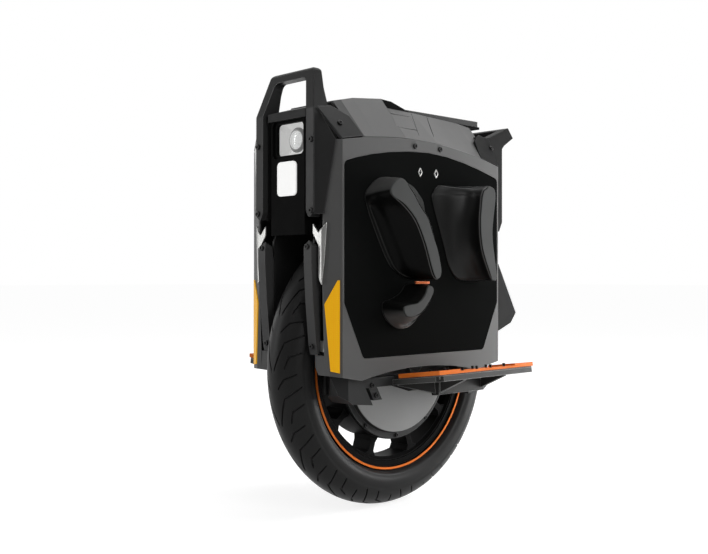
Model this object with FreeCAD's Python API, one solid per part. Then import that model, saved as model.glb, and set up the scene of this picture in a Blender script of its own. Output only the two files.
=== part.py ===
import FreeCAD, Part
import math
import os

# Electric unicycle with a sprung wheel. X points forward, Y to the rider's left, Z up.
# The origin is on the ground, where the tyre stands under the axle. Lengths are millimetres.

V = FreeCAD.Vector

# Common gaps and overruns
seam_gap = 1.0            # open joint line between two covers
rest_gap = 0.3            # pieces that move past each other
running_gap = 0.05        # shaft in its bush, on the radius
press_gap = 0.02          # shaft in the seat that holds it, on the radius
overrun = 20.0            # how far a cutting tool reaches past what it cuts

# Tyre and rim
tyre_radius = 224.0
tyre_half_width = 38.0
tyre_tread_wall = 10.0
bead_gap = 0.3
bead_toe_half_width = 15.0
tyre_sidewall = 56.75
rim_half_width = 27.0
rim_flange_height = 14.85
rim_flange_wall = 4.0
rim_barrel_wall = 4.4
rim_well_depth = 2.4
rim_well_width = 8.0
rim_lip_slope = 1.4
rim_flare = 4.5
rim_flare_depth = 9.0
stripe_width = 3.4
stripe_height = 1.2
sidewall_bend_shares = (0.40, 0.70)
spoke_count = 10
spoke_hub_width = 17.0
spoke_waist_width = 9.5
spoke_rim_width = 26.0
spoke_waist_shares = (0.3, 0.72)
spoke_half_depth = 19.0
spoke_root = 2.0
spoke_length = 28.0
hub_wall = 8.0
valve_radius = 4.0
valve_length = 22.0

# Hub motor
cover_edge = 1.5
cover_face_edge = 12.5
cover_face_y = 37.0
cover_flange_wall = 3.5
cover_wall = 4.5
cover_bevel = 2.5
cover_screw_count = 10
cover_screw_radius = 3.4
cover_screw_height = 2.4
cover_screw_edge = 5.8
bearing_radius = 26.0
bearing_width = 12.0
bearing_seat_wall = 5.0
magnet_wall = 4.0
magnet_half_width = 18.0
air_gap = 0.8
stator_half_width = 16.0
stator_ring_wall = 36.0
stator_web_half_width = 4.0
stator_slot_count = 27
stator_slot_width = 5.0
stator_slot_depth = 19.0
winding_height = 8.0
winding_edge = 5.0
axle_radius = 15.0
axle_end_radius = 12.0
axle_half_length = 74.0
axle_seal_gap = 2.5

# Suspension
travel = 70.0
rail_radius = 12.5
rail_y = 72.0
front_rail_ahead = -37.7
rear_rail_behind = -26.0
rail_bottom_over_axle = -32.0
rail_top_over_frame = -73.0
bush_wall = 3.5
housing_wall = 5.0
housing_height = 74.0
carrier_y = 54.0
carrier_wall = 12.0
carrier_drop = 20.0
carrier_rise = 28.0
carrier_arm_lift = 18.0
carrier_flat_half_length = 60.0
carrier_bend_half_length = 96.0
axle_nut_radius = 19.0
axle_nut_sides = 6
shock_ahead = -81.7
shock_rod_radius = 6.0
shock_rod_length = 186.0
shock_piston_radius = 11.6
shock_piston_height = 9.0
shock_bore_radius = 12.0
shock_body_radius = 16.0
shock_body_bottom_over_axle = 132.0
shock_body_top_over_frame = -19.0
shock_cap = 6.0
shock_lug_length = 22.0
shock_lug_height = 30.0

# Side frames and what they carry
frame_y = 44.0
frame_wall = 4.0
frame_front_inset = 38.3
frame_top_front_ahead = -16.7
frame_rear_inset = 58.0
frame_leg_length = 62.0
frame_bottom_over_axle = -36.0
frame_toe_setback = 21.0
frame_toe_top_over_axle = 38.0
frame_toe_bottom_over_axle = 12.0
frame_arch_over_axle = 126.0
frame_top_gap = 16.0
frame_neck_over_frame = -133.0
frame_neck_rise = 30.0
rail_boss_half_length = 18.0
rail_boss_height = 20.0
rail_boss_reach = 40.0
battery_shock_gap = 24.0
battery_rail_gap = 34.0
battery_bottom_over_frame = -163.0
battery_top_over_frame = -5.0
battery_depth = 44.0
battery_round = 6.0
arch_gap = 8.0
arch_wall = 3.0
arch_end_gap = 1.0
controller_half_length = 90.0
controller_half_width = 60.0
controller_plate = 5.0
fin_height = 22.0
fin_wall = 3.0
fin_count = 9

# Fork feet and pedal hangers
foot_front_ahead = -75.7
foot_front_length = 64.0
foot_rear_behind = -62.0
foot_rear_length = 64.0
foot_bottom_over_axle = -52.0
foot_height = 44.0
foot_outer_y = 90.0
foot_shares = [(1.0, 1.0), (0.36, 0.932), (0.0, 0.0), (0.631, 0.1), (0.9, 0.386)]
foot_point = 15.0
hanger_bottom_over_axle = -26.0
hanger_top_over_axle = -12.0
hanger_inner_y = 77.0
hanger_tab_gap = 6.0
hanger_tab_width = 17.0
hanger_tab_wall = 8.0
hanger_tab_bottom_over_axle = -45.0
lug_half_gap = 52.0
lug_wall = 14.0
lug_radius = 11.0
hinge_y = 120.0
hinge_over_axle = -21.0
hinge_pin_radius = 5.0
hinge_pin_head = 3.0
hanger_bolt_radius = 4.5
hanger_bolt_height = 5.0
hanger_bolt_reach_shares = (0.21, 0.675)

# Pedals, measured from the hinge pin: outward, and up across the deck
pedal_front_x = 105.0
pedal_rear_x = -111.0
pedal_inner = 6.0
pedal_outer = 97.0
pedal_notch = 13.5
pedal_notch_half_length = 72.0
pedal_corner = 8.0
pedal_tilt_deg = 7.3
deck_wall = 8.0
land_height = 1.2
land_inset = 3.5
knuckle_radius = 9.0
knuckle_gap = 0.5
keel_front_x = 49.0
keel_rear_x = -52.0
keel_inner = 24.0
keel_outer = 46.0
keel_depth = 20.0
keel_taper = 4.0
rib_wall = 5.0
rib_tip_depth = 1.5
grip_wall = 3.4
grip_bar = 11.0
grip_bar_height = 6.0
grip_block_length = 44.0
grip_side = 9.0
stud_radius = 2.2
stud_height = 8.2
stud_columns = 5

# Side shells and panels
shell_y = 101.0
shell_wall = 4.0
shell_front_ahead = -5.7
shell_rear_behind = 1.0
shell_nose_ahead = 6.8
shell_tail_behind = 17.0
shell_nose_y = 71.5
shell_nose_over_axle = 136.0
shell_nose_top_ahead = -2.0
shell_nose_mid_ahead = 5.4
shell_nose_mid_over_frame = -97.0
shell_nose_low_ahead = 1.9
toe_inner_y = 51.5
toe_foot_y = 58.5
toe_outer_y = 82.0
toe_bevel_over_axle = 6.0
toe_top_over_axle = 23.0
shell_low_front_over_axle = -5.0
shell_low_dip_ahead = -43.2
shell_low_dip_over_axle = -13.0
shell_low_arch_x = 30.0
shell_low_rear_dip_behind = -54.0
shell_low_rear_over_axle = -3.0
band_front_over_frame = 6.5
band_crown_x = 42.0
band_crown_over_frame = 19.5
band_rear_over_frame = -6.0
band_steps = 10
panel_front_ahead = -8.7
panel_rear_behind = -2.0
panel_bottom_over_axle = 18.0
panel_recess = 2.0
panel_proud = 0.6
panel_corner = 9.0
panel_edge_gap = 0.4
panel_shares = [(1.0, 0.922), (0.93, 0.946), (0.84, 0.969), (0.74, 0.988), (0.62, 1.003), (0.49, 1.008), (0.37, 1.0),
                (0.25, 0.98), (0.12, 0.949), (0.0, 0.914), (0.0, 0.251), (0.105, 0.0), (0.89, 0.0), (1.0, 0.264)]

# Corner reflectors and brackets, along the front chamfer from its outer edge and up
reflector_wall = 1.6
reflector_top_over_axle = 130.0
reflector_shares = [(0.13, 1.0), (0.22, 1.0), (0.86, 0.74), (0.565, 0.016), (0.13, 0.0)]
bracket_wall = 2.2
bracket_bottom_over_axle = 124.0
bracket_top_over_frame = -109.0
bracket_shares = [(1.0, 0.0), (0.97, 0.0), (0.834, 0.44), (0.73, 1.0), (1.0, 0.9)]
bracket_inner_y = 54.0
bracket_stem_y = 66.0
bracket_arm_shares = (0.98, 0.83, 0.64, 0.12)
clip_bottom_over_axle = 28.0
clip_top_over_axle = 44.0
clip_depth = 12.0

# Fork guards
guard_inner_y = 44.0
guard_outer_y = 61.0
guard_front_ahead = 17.3
guard_depth = 17.0
guard_bottom_over_axle = 24.0
guard_handle_gap = 29.0
guard_shares = [(0.706, 0.0), (0.529, 0.086), (0.176, 0.479), (0.0, 0.81), (0.0, 0.939),
                (0.294, 1.0), (0.765, 0.963), (1.0, 0.81), (1.0, 0.061)]
guard_point_share = 0.35
guard_face_count = 5
guard_point_height = 9.0

# Top cover and deck
cover_half_width = 100.5
cover_top_half_width = 47.0
cover_skirt_over_frame = -17.0
cover_shell = 4.0
cover_front_ahead = -35.7
cover_step_x = 50.0
cover_rear_behind = -8.0
cover_front_edge = 10.5
cover_front_top = 71.0
cover_brow_length = 40.0
cover_brow_edge = 15.0
cover_brow_top = 80.0
cover_step_edge = 19.5
cover_step_top = 86.0
cover_step_height = 12.5
cover_mid_x = -20.0
cover_mid_edge = 17.5
cover_mid_top = 72.0
cover_back_length = 33.0
cover_back_edge = 4.0
cover_back_top = 67.0
cover_end_edge = -3.5
cover_end_top = 63.0
deck_half_width = 46.0
deck_base_over_frame = 67.0
deck_hump_over_frame = 86.0
deck_hump_rear_over_frame = 84.5
deck_hump_length = 23.0
deck_ramp_length = 30.0
deck_ramp_rise = 1.0
deck_rear_behind = 20.0
deck_slab = 4.0
deck_core_height = 8.0
deck_core_half_width = 31.5
deck_core_rear_behind = -8.0
trolley_height = 9.4
trolley_arm_width = 10.0
trolley_grip_length = 22.0
trolley_pivot_x = -9.0
trolley_pin_radius = 3.0
button_radius = 9.0
button_height = 6.0
button_travel = 1.5
button_x = 38.5
button_proud = 1.2

# Charge port and its flap, on the left slope of the top cover
port_x = 25.0
port_slope_share = 0.40
port_radius = 11.5
port_bore_radius = 7.5
port_bore_depth = 14.0
port_length = 19.0
flap_length = 48.0
flap_width = 34.0
flap_wall = 2.2
flap_lean = 5.0
flap_gap = 0.9

# Front handle
front_handle_ahead = 17.8
front_handle_depth = 53.5
front_handle_bottom_over_frame = -105.0
front_handle_height = 221.0
front_handle_shares = [(0.0, 0.0), (0.009, 0.715), (0.308, 1.0), (0.575, 1.0), (0.52, 0.86), (0.545, 0.738),
                       (0.7, 0.692), (1.0, 0.679), (1.0, 0.611), (0.664, 0.362), (0.421, 0.054), (0.252, 0.0)]
handle_side_round = 9.0
handle_loop_round = 10.0
cheek_wall = 1.5
cheek_depth = 4.0
cheek_low_share = 0.886
cheek_high_share = 0.299
cheek_low_over_frame = -97.0
cheek_tip_drop = 2.0
handle_outer_y = 65.5
handle_inner_y = 49.0
handle_bend_over_frame = 53.0
handle_top_outer_y = 47.4
handle_top_inner_y = 34.8
handle_top_bar = 14.5
handle_tip_height = 13.0
handle_tip_share = 0.45

# Shoulder plates of both handles: lower corners on the shell, upper corners beside the leg
shoulder_wall = 5.0
shoulder_edge = 0.2
front_shoulder_ahead = 10.3
front_shoulder_rise = 55.0
front_shoulder_lift = 2.0
front_shoulder_length = 41.0
front_shoulder_back_lift = 15.5
front_shoulder_waist = 33.0
front_shoulder_waist_y = 78.0
front_shoulder_root = 25.0
rear_shoulder_behind = 22.0
rear_shoulder_rise_share = 0.85955
rear_shoulder_lift = 2.0
rear_shoulder_length = 43.0
rear_shoulder_back_lift = 4.5
rear_shoulder_waist = 31.0
rear_shoulder_root = 28.0

# Rear handle
rear_handle_behind = -16.0
rear_handle_length = 103.0
rear_handle_bottom_over_frame = -109.0
rear_handle_height = 178.0
rear_handle_shares = [(0.0, 0.781), (0.0, 0.865), (0.379, 0.882), (0.864, 1.0), (1.0, 0.91), (0.767, 0.826),
                      (0.709, 0.792), (0.709, 0.09), (0.631, 0.0), (0.515, 0.062), (0.388, 0.472)]
rear_bar_reach_share = 0.777
rear_bar_height_share = 0.781

# Front panel, hood and headlight
nose_ahead = 10.3
nose_half_width = 38.0
nose_wall = 5.0
nose_return_ahead = -13.7
nose_return_half_width = 43.7
nose_bottom_over_frame = -125.0
nose_top_over_frame = 43.0
hood_ahead = 12.8
hood_half_width = 43.0
hood_lip = 12.0
hood_rear_over_frame = 69.5
hood_wall = 10.0
lamp_over_frame = 15.5
lamp_half_width = 35.0
lamp_half_height = 27.5
lamp_corner = 9.0
bezel_wall = 4.0
bezel_depth = 6.5
bezel_proud = -3.5
bowl_depth = 9.5
bowl_wall = 2.5
bowl_back_half_width = 21.0
bowl_back_half_height = 17.5
bowl_gap = 0.4
lens_radius = 13.5
lens_height = 8.0
lens_dome = 3.0
marker_over_frame = -43.0
marker_half_width = 21.0
marker_half_height = 25.0
marker_corner = 7.0
marker_wall = 2.6

# Rear panel, tail light and mudguard
tail_behind = 24.0
tail_half_width = 34.0
tail_wall = 5.0
tail_return_behind = 2.5
tail_bottom_over_frame = -119.0
tail_top_over_frame = 35.0
tail_lamp_half_width = 33.0
tail_lamp_bottom_over_frame = -25.0
tail_lamp_height = 20.0
tail_lamp_wall = 4.0
tail_lamp_corner = 5.0
mudguard_behind = 24.0
mudguard_length = 94.0
mudguard_bottom_over_axle = 42.0
mudguard_height = 164.0
mudguard_half_width = 48.0
mudguard_wall = 4.0
mudguard_shares = [(0.0, 1.0), (0.489, 0.695), (1.0, 0.183), (0.851, 0.079), (0.489, 0.0), (0.17, 0.146), (0.0, 0.695)]
mudguard_plate_count = 4
mudguard_tab_height = 46.0

# Leg pads on the side panels: outlines as shares of each pad's length and height
pad_depth = 45.0
pad_gap = 0.3
pad_crown_share = 0.12
front_pad_x = 18.0
front_pad_over_axle = 129.0
front_pad_length = 123.0
front_pad_insert_gap = 10.6
front_pad_base_shares = [(0.163, 0.0), (0.472, 0.084), (0.642, 0.213), (0.862, 0.529), (0.959, 0.69), (1.0, 0.794),
                         (0.919, 0.89), (0.699, 1.0), (0.252, 0.967), (0.049, 0.869), (-0.057, 0.686), (0.0, 0.135)]
front_pad_face_shares = [(0.098, 0.019), (0.203, 0.097), (0.35, 0.348), (0.504, 0.561), (0.699, 0.697),
                         (0.919, 0.794), (0.886, 0.89), (0.732, 0.961), (0.55, 0.86), (0.4, 0.715), (0.228, 0.548),
                         (0.049, 0.135)]
front_pad_waist_share = 0.45
lower_pad_x = 25.0
lower_pad_over_axle = 59.0
lower_pad_length = 80.0
lower_pad_gap = 5.0
lower_pad_base_shares = [(1.0, 0.576), (0.925, 0.258), (0.637, 0.0), (0.312, 0.0), (0.025, 0.258), (0.0, 0.742),
                         (0.188, 1.0), (0.388, 1.0), (0.537, 0.803), (0.787, 0.667)]
lower_pad_face_shares = [(0.963, 0.515), (0.925, 0.318), (0.762, 0.273), (0.512, 0.348), (0.3, 0.576), (0.188, 0.848),
                         (0.25, 0.97), (0.35, 0.97), (0.425, 0.773), (0.613, 0.591)]
lower_pad_waist_share = 0.4
rear_pad_x = -120.0
rear_pad_over_axle = 128.0
rear_pad_length = 118.0
rear_pad_insert_gap = 14.6
rear_pad_base_shares = [(0.949, 0.953), (1.0, 0.88), (0.788, 0.42), (0.653, 0.147), (0.458, 0.007), (0.085, 0.0),
                        (0.0, 0.067), (0.068, 0.453), (0.017, 0.907), (0.169, 1.0)]
rear_pad_face_shares = [(0.39, 0.96), (0.441, 0.853), (0.475, 0.587), (0.424, 0.32), (0.254, 0.053), (0.186, 0.0),
                        (0.102, 0.053), (0.195, 0.487), (0.127, 0.9), (0.271, 0.993)]
rear_pad_waist_share = 0.62
link_length = 34.0
link_width = 20.0
link_front_x = 72.0
link_inner_share = 0.35

# Fasteners
screw_radius = 4.2
screw_height = 2.0
band_screw_front_x = 32.2
band_screw_rear_x = -24.1
band_screw_drop = 9.5
handle_screw_shares = (0.513, 0.059)
handle_screw_y = 60.5
guard_screw_shares = (0.944, 0.071)
guard_screw_y = 51.6
insert_front_x = 21.8
insert_spacing = 35.6
insert_over_frame = -28.4
insert_half_width = 5.2
insert_half_height = 7.2
insert_bore_radius = 2.1
insert_body_radius = 3.6
insert_length = 8.0
insert_proud = 0.8

# Places worked out from the sizes above
axle_z = tyre_radius
axle_centre = V(0, 0, axle_z)
tyre_centre_radius = tyre_radius - tyre_half_width
rim_radius = tyre_radius - tyre_sidewall
rim_seat_radius = rim_radius - rim_flange_height
hub_radius = rim_seat_radius - rim_barrel_wall - spoke_length
hub_bore = hub_radius - hub_wall
cover_radius = hub_radius - cover_edge
cover_face_radius = hub_radius - cover_face_edge
cover_screw_circle = hub_radius - cover_screw_edge
magnet_radius = hub_bore - press_gap
stator_radius = magnet_radius - magnet_wall - air_gap
frame_top_z = axle_z + travel + tyre_radius + arch_gap + arch_wall + frame_top_gap
frame_front_x = tyre_radius - frame_front_inset
frame_rear_x = frame_rear_inset - tyre_radius
rail_bottom_z = axle_z + rail_bottom_over_axle
foot_bottom_z = axle_z + foot_bottom_over_axle
hanger_bottom_z = axle_z + hanger_bottom_over_axle
hanger_top_z = axle_z + hanger_top_over_axle
hanger_tab_bottom_z = axle_z + hanger_tab_bottom_over_axle
hinge_z = axle_z + hinge_over_axle
frame_bottom_z = axle_z + frame_bottom_over_axle
frame_toe_top_z = axle_z + frame_toe_top_over_axle
frame_toe_bottom_z = axle_z + frame_toe_bottom_over_axle
frame_arch_z = axle_z + frame_arch_over_axle
shock_body_bottom_z = axle_z + shock_body_bottom_over_axle
shell_nose_z = axle_z + shell_nose_over_axle
toe_bevel_z = axle_z + toe_bevel_over_axle
toe_top_z = axle_z + toe_top_over_axle
shell_low_front_z = axle_z + shell_low_front_over_axle
shell_low_dip_z = axle_z + shell_low_dip_over_axle
shell_low_rear_z = axle_z + shell_low_rear_over_axle
panel_bottom_z = axle_z + panel_bottom_over_axle
reflector_top_z = axle_z + reflector_top_over_axle
bracket_bottom_z = axle_z + bracket_bottom_over_axle
clip_bottom_z = axle_z + clip_bottom_over_axle
clip_top_z = axle_z + clip_top_over_axle
guard_bottom_z = axle_z + guard_bottom_over_axle
mudguard_bottom_z = axle_z + mudguard_bottom_over_axle
front_pad_z = axle_z + front_pad_over_axle
lower_pad_z = axle_z + lower_pad_over_axle
rear_pad_z = axle_z + rear_pad_over_axle
shell_low_arch_z = axle_z
reflector_bottom_z = shell_low_arch_z
rail_top_z = frame_top_z + rail_top_over_frame
battery_bottom_z = frame_top_z + battery_bottom_over_frame
battery_top_z = frame_top_z + battery_top_over_frame
frame_neck_z = frame_top_z + frame_neck_over_frame
shock_body_top_z = frame_top_z + shock_body_top_over_frame
band_front_z = frame_top_z + band_front_over_frame
band_crown_z = frame_top_z + band_crown_over_frame
band_rear_z = frame_top_z + band_rear_over_frame
bracket_top_z = frame_top_z + bracket_top_over_frame
cover_skirt_z = frame_top_z + cover_skirt_over_frame
deck_base_z = frame_top_z + deck_base_over_frame
deck_hump_z = frame_top_z + deck_hump_over_frame
deck_hump_rear_z = frame_top_z + deck_hump_rear_over_frame
front_handle_bottom_z = frame_top_z + front_handle_bottom_over_frame
handle_bend_z = frame_top_z + handle_bend_over_frame
rear_handle_bottom_z = frame_top_z + rear_handle_bottom_over_frame
nose_bottom_z = frame_top_z + nose_bottom_over_frame
nose_top_z = frame_top_z + nose_top_over_frame
hood_rear_z = frame_top_z + hood_rear_over_frame
lamp_z = frame_top_z + lamp_over_frame
marker_z = frame_top_z + marker_over_frame
tail_bottom_z = frame_top_z + tail_bottom_over_frame
tail_top_z = frame_top_z + tail_top_over_frame
tail_lamp_bottom_z = frame_top_z + tail_lamp_bottom_over_frame
insert_z = frame_top_z + insert_over_frame
panel_top_z = frame_top_z
shell_nose_mid_z = frame_top_z + shell_nose_mid_over_frame
front_rail_x = frame_front_x + front_rail_ahead
shock_x = frame_front_x + shock_ahead
frame_top_front_x = frame_front_x + frame_top_front_ahead
battery_front_x = shock_x - battery_shock_gap
foot_front_x = frame_front_x + foot_front_ahead
shell_front_x = frame_front_x + shell_front_ahead
shell_nose_x = frame_front_x + shell_nose_ahead
shell_nose_top_x = frame_front_x + shell_nose_top_ahead
shell_nose_mid_x = frame_front_x + shell_nose_mid_ahead
shell_nose_low_x = frame_front_x + shell_nose_low_ahead
shell_low_dip_x = frame_front_x + shell_low_dip_ahead
panel_front_x = frame_front_x + panel_front_ahead
guard_front_x = frame_front_x + guard_front_ahead
front_handle_x = frame_front_x + front_handle_ahead
nose_x = frame_front_x + nose_ahead
nose_return_x = frame_front_x + nose_return_ahead
hood_x = frame_front_x + hood_ahead
cover_front_x = frame_front_x + cover_front_ahead
rear_rail_x = frame_rear_x - rear_rail_behind
battery_rear_x = rear_rail_x + battery_rail_gap
foot_rear_x = frame_rear_x - foot_rear_behind
shell_rear_x = frame_rear_x - shell_rear_behind
shell_tail_x = frame_rear_x - shell_tail_behind
shell_low_rear_dip_x = frame_rear_x - shell_low_rear_dip_behind
panel_rear_x = frame_rear_x - panel_rear_behind
tail_x = frame_rear_x - tail_behind
tail_return_x = frame_rear_x - tail_return_behind
mudguard_x = frame_rear_x - mudguard_behind
rear_handle_x = frame_rear_x - rear_handle_behind
deck_rear_x = frame_rear_x - deck_rear_behind
deck_core_rear_x = frame_rear_x - deck_core_rear_behind
guard_height = front_handle_bottom_z - guard_handle_gap - guard_bottom_z
front_pad_height = insert_z - front_pad_insert_gap - front_pad_z
rear_pad_height = insert_z - rear_pad_insert_gap - rear_pad_z
lower_pad_height = front_pad_z - lower_pad_gap - lower_pad_z
rear_bar_front_x = rear_handle_x - rear_bar_reach_share * rear_handle_length
rear_bar_bottom_z = rear_handle_bottom_z + rear_bar_height_share * rear_handle_height
guard_screw_z = [guard_bottom_z + share * guard_height for share in guard_screw_shares]
handle_screw_z = [front_handle_bottom_z + share * front_handle_height for share in handle_screw_shares]
band_screw_x = (band_screw_front_x, band_screw_rear_x)
insert_x = (insert_front_x, insert_front_x - insert_spacing)
cover_rear_x = frame_rear_x - cover_rear_behind
cover_front_stations = [(cover_front_x, frame_top_z + cover_front_edge, frame_top_z + cover_front_top),
                        (cover_front_x - cover_brow_length, frame_top_z + cover_brow_edge, frame_top_z + cover_brow_top),
                        (cover_step_x, frame_top_z + cover_step_edge, frame_top_z + cover_step_top)]
cover_low_step_z = frame_top_z + cover_step_top - cover_step_height
cover_rear_stations = [(cover_step_x, frame_top_z + cover_step_edge, cover_low_step_z),
                       (cover_mid_x, frame_top_z + cover_mid_edge, frame_top_z + cover_mid_top),
                       (cover_rear_x + cover_back_length, frame_top_z + cover_back_edge, frame_top_z + cover_back_top),
                       (cover_rear_x, frame_top_z + cover_end_edge, frame_top_z + cover_end_top)]
shoulder_y = shell_y - shoulder_edge
front_shoulder_x = frame_front_x + front_shoulder_ahead
front_shoulder_top = (front_shoulder_x, handle_outer_y, frame_top_z + front_shoulder_rise)
front_shoulder_low = (shell_front_x, shoulder_y, band_front_z + front_shoulder_lift)
front_shoulder_back = (shell_front_x - front_shoulder_length, shoulder_y, frame_top_z + front_shoulder_back_lift)
front_shoulder_inner = [(shell_front_x - front_shoulder_waist, front_shoulder_waist_y),
                        (front_shoulder_x - front_shoulder_root, handle_outer_y)]
rear_shoulder_x = frame_rear_x - rear_shoulder_behind
rear_shoulder_top_z = rear_handle_bottom_z + rear_shoulder_rise_share * rear_handle_height
rear_shoulder_top = (rear_shoulder_x, handle_outer_y, rear_shoulder_top_z)
rear_shoulder_low = (shell_rear_x, shoulder_y, band_rear_z + rear_shoulder_lift)
rear_shoulder_back = (shell_rear_x + rear_shoulder_length, shoulder_y, frame_top_z + rear_shoulder_back_lift)
rear_shoulder_inner = [(shell_rear_x + rear_shoulder_waist, front_shoulder_waist_y),
                       (rear_shoulder_x + rear_shoulder_root, handle_outer_y)]
foot_top_z = foot_bottom_z + foot_height
housing_bottom_z = foot_top_z + rest_gap
housing_radius = rail_radius + running_gap + bush_wall + housing_wall
panel_face_y = shell_y + panel_proud
rail_places = [(front_rail_x, rail_y), (rear_rail_x, rail_y)]
chamfer_length = math.hypot(shell_nose_x - shell_front_x, shell_y - shell_nose_y)
chamfer_along = V((shell_nose_x - shell_front_x) / chamfer_length, (shell_nose_y - shell_y) / chamfer_length, 0)
chamfer_out = V(-chamfer_along.y, chamfer_along.x, 0)
X_AXIS = V(1, 0, 0)
Y_AXIS = V(0, 1, 0)
Z_AXIS = V(0, 0, 1)


def closed(points):
    """Polygon wire through the points and back to the first."""
    return Part.makePolygon(list(points) + [points[0]])


def solid_of(wire, sweep):
    """Solid made by moving the wire's face along a vector."""
    return Part.Face(wire).extrude(sweep)


def side_prism(points, y_from, y_to):
    """Solid of a side-view outline of (x, z) points between two Y planes."""
    return solid_of(closed([V(x, y_from, z) for x, z in points]), V(0, y_to - y_from, 0))


def front_prism(points, x_from, x_to):
    """Solid of a front-view outline of (y, z) points between two X planes."""
    return solid_of(closed([V(x_from, y, z) for y, z in points]), V(x_to - x_from, 0, 0))


def plan_prism(points, z_from, z_to):
    """Solid of a plan-view outline of (x, y) points between two Z planes."""
    return solid_of(closed([V(x, y, z_from) for x, y in points]), V(0, 0, z_to - z_from))


def box(x_from, x_to, y_from, y_to, z_from, z_to):
    """Box between two corners."""
    return Part.makeBox(x_to - x_from, y_to - y_from, z_to - z_from, V(x_from, y_from, z_from))


def rod(start, along, radius, length):
    """Cylinder from a start point along a direction."""
    return Part.makeCylinder(radius, length, start, along)


def ring(start, along, outer, inner, length):
    """Tube from a start point along a direction."""
    return rod(start, along, outer, length).cut(rod(start, along, inner, length))


def mirrored(shape):
    """The same piece on the right side."""
    return shape.mirror(V(0, 0, 0), Y_AXIS)


def pair(shape):
    """A piece and its mirror image, as two separate solids."""
    return Part.makeCompound([shape, mirrored(shape)])


def joined(shapes):
    """One solid from shapes that meet."""
    return shapes[0].fuse(shapes[1:]).removeSplitter()


def placed(shares, x_from, z_from, length, height):
    """Outline points in millimetres from shares of a length and a height."""
    return [(x_from + sx * length, z_from + sz * height) for sx, sz in shares]


def rounded_wire(points, radius):
    """Closed planar outline with every corner rounded, each arc limited by its sides."""
    count = len(points)
    starts = []
    edges = []
    for i in range(count):
        here = points[i]
        back = points[i - 1] - here
        ahead = points[(i + 1) % count] - here
        side_limit_share = 0.45
        half = back.getAngle(ahead) / 2
        reach = min(radius / math.tan(half), side_limit_share * min(back.Length, ahead.Length))
        back.normalize()
        ahead.normalize()
        middle = back + ahead
        middle.normalize()
        arc_radius = reach * math.tan(half)
        bulge = here + middle * (arc_radius / math.sin(half) - arc_radius)
        starts.append((here + back * reach, bulge, here + ahead * reach))
    for i in range(count):
        first, bulge, last = starts[i]
        edges.append(Part.Arc(first, bulge, last).toShape())
        edges.append(Part.LineSegment(last, starts[(i + 1) % count][0]).toShape())
    return Part.Wire(edges)


def wheel_point(radius, y):
    """A point straight above the axle, at a radius of the wheel."""
    return V(0, y, axle_z + radius)


def turned(points):
    """Solid of revolution about the axle from (radius, y) points."""
    face = Part.Face(closed([wheel_point(r, y) for r, y in points]))
    return face.revolve(axle_centre, Y_AXIS, 360)


def around_axle(shape, count):
    """Copies of a shape spread evenly about the axle."""
    copies = []
    for i in range(count):
        copy = shape.copy()
        copy.rotate(axle_centre, Y_AXIS, 360 * i / count)
        copies.append(copy)
    return copies


def make_tyre():
    """Hollow tyre with round crown, bulged sidewalls and beads on the rim seat."""
    seat = rim_seat_radius + bead_gap
    heel = rim_half_width - rim_flange_wall - bead_gap
    neck = rim_radius + bead_gap
    widest = tyre_centre_radius
    bend_r_share, bend_y_share = sidewall_bend_shares
    bend = (neck + bend_r_share * (widest - neck), heel + bend_y_share * (tyre_half_width - heel))
    quarter = math.sqrt(0.5) * tyre_half_width

    def half(sign):
        top = wheel_point(tyre_radius, 0)
        wide = wheel_point(widest, sign * tyre_half_width)
        crown = wheel_point(widest + quarter, sign * quarter)
        over_flange = wheel_point(neck, sign * heel)
        heel_point = wheel_point(seat, sign * heel)
        toe = wheel_point(seat, sign * bead_toe_half_width)
        throat = wheel_point(neck, sign * bead_toe_half_width)
        return [Part.Arc(top, crown, wide).toShape(),
                Part.Arc(wide, wheel_point(bend[0], sign * bend[1]), over_flange).toShape(),
                Part.LineSegment(over_flange, heel_point).toShape(),
                Part.LineSegment(heel_point, toe).toShape(),
                Part.LineSegment(toe, throat).toShape()]

    cavity = Part.Arc(wheel_point(neck, bead_toe_half_width), wheel_point(tyre_radius - tyre_tread_wall, 0),
                      wheel_point(neck, -bead_toe_half_width)).toShape()
    outline = Part.Wire(Part.__sortEdges__(half(1) + [cavity] + half(-1)))
    return Part.Face(outline).revolve(axle_centre, Y_AXIS, 360)


def make_rim():
    """Cast rim: flanged barrel, waisted spokes and the hub ring that holds the magnets."""
    barrel_bore = rim_seat_radius - rim_barrel_wall
    inner = rim_half_width - rim_flange_wall
    lip = rim_radius - stripe_width
    well_top = lip - rim_lip_slope
    well_low = well_top - rim_well_width
    well_y = rim_half_width - rim_well_depth
    half = [(barrel_bore, rim_half_width - rim_flare_depth), (barrel_bore + rim_flare, well_y - rim_flare / 2),
            (well_low, well_y), (well_top, well_y), (lip, rim_half_width), (rim_radius, rim_half_width),
            (rim_radius, inner), (rim_seat_radius, inner)]
    barrel = turned(half + [(r, -y) for r, y in reversed(half)])
    hub = ring(V(0, -rim_half_width, axle_z), Y_AXIS, hub_radius, hub_bore, 2 * rim_half_width)
    root = hub_radius - spoke_root
    tip = barrel_bore + spoke_root
    waists = [(spoke_waist_width / 2, root + share * (tip - root)) for share in spoke_waist_shares]
    half = [(spoke_hub_width / 2, root)] + waists + [(spoke_rim_width / 2, tip)]
    outline = [(x, axle_z + r) for x, r in half] + [(-x, axle_z + r) for x, r in reversed(half)]
    spoke = side_prism(outline, -spoke_half_depth, spoke_half_depth)
    valve_hole = rod(V(0, 0, axle_z), Z_AXIS, valve_radius + press_gap, rim_radius)
    spoke.rotate(axle_centre, Y_AXIS, 180 / spoke_count)
    rim = joined([barrel, hub] + around_axle(spoke, spoke_count))
    keep_hub = rod(V(0, -rim_half_width, axle_z), Y_AXIS, hub_radius, 2 * rim_half_width)
    return rim.cut(valve_hole.cut(keep_hub))


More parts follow.
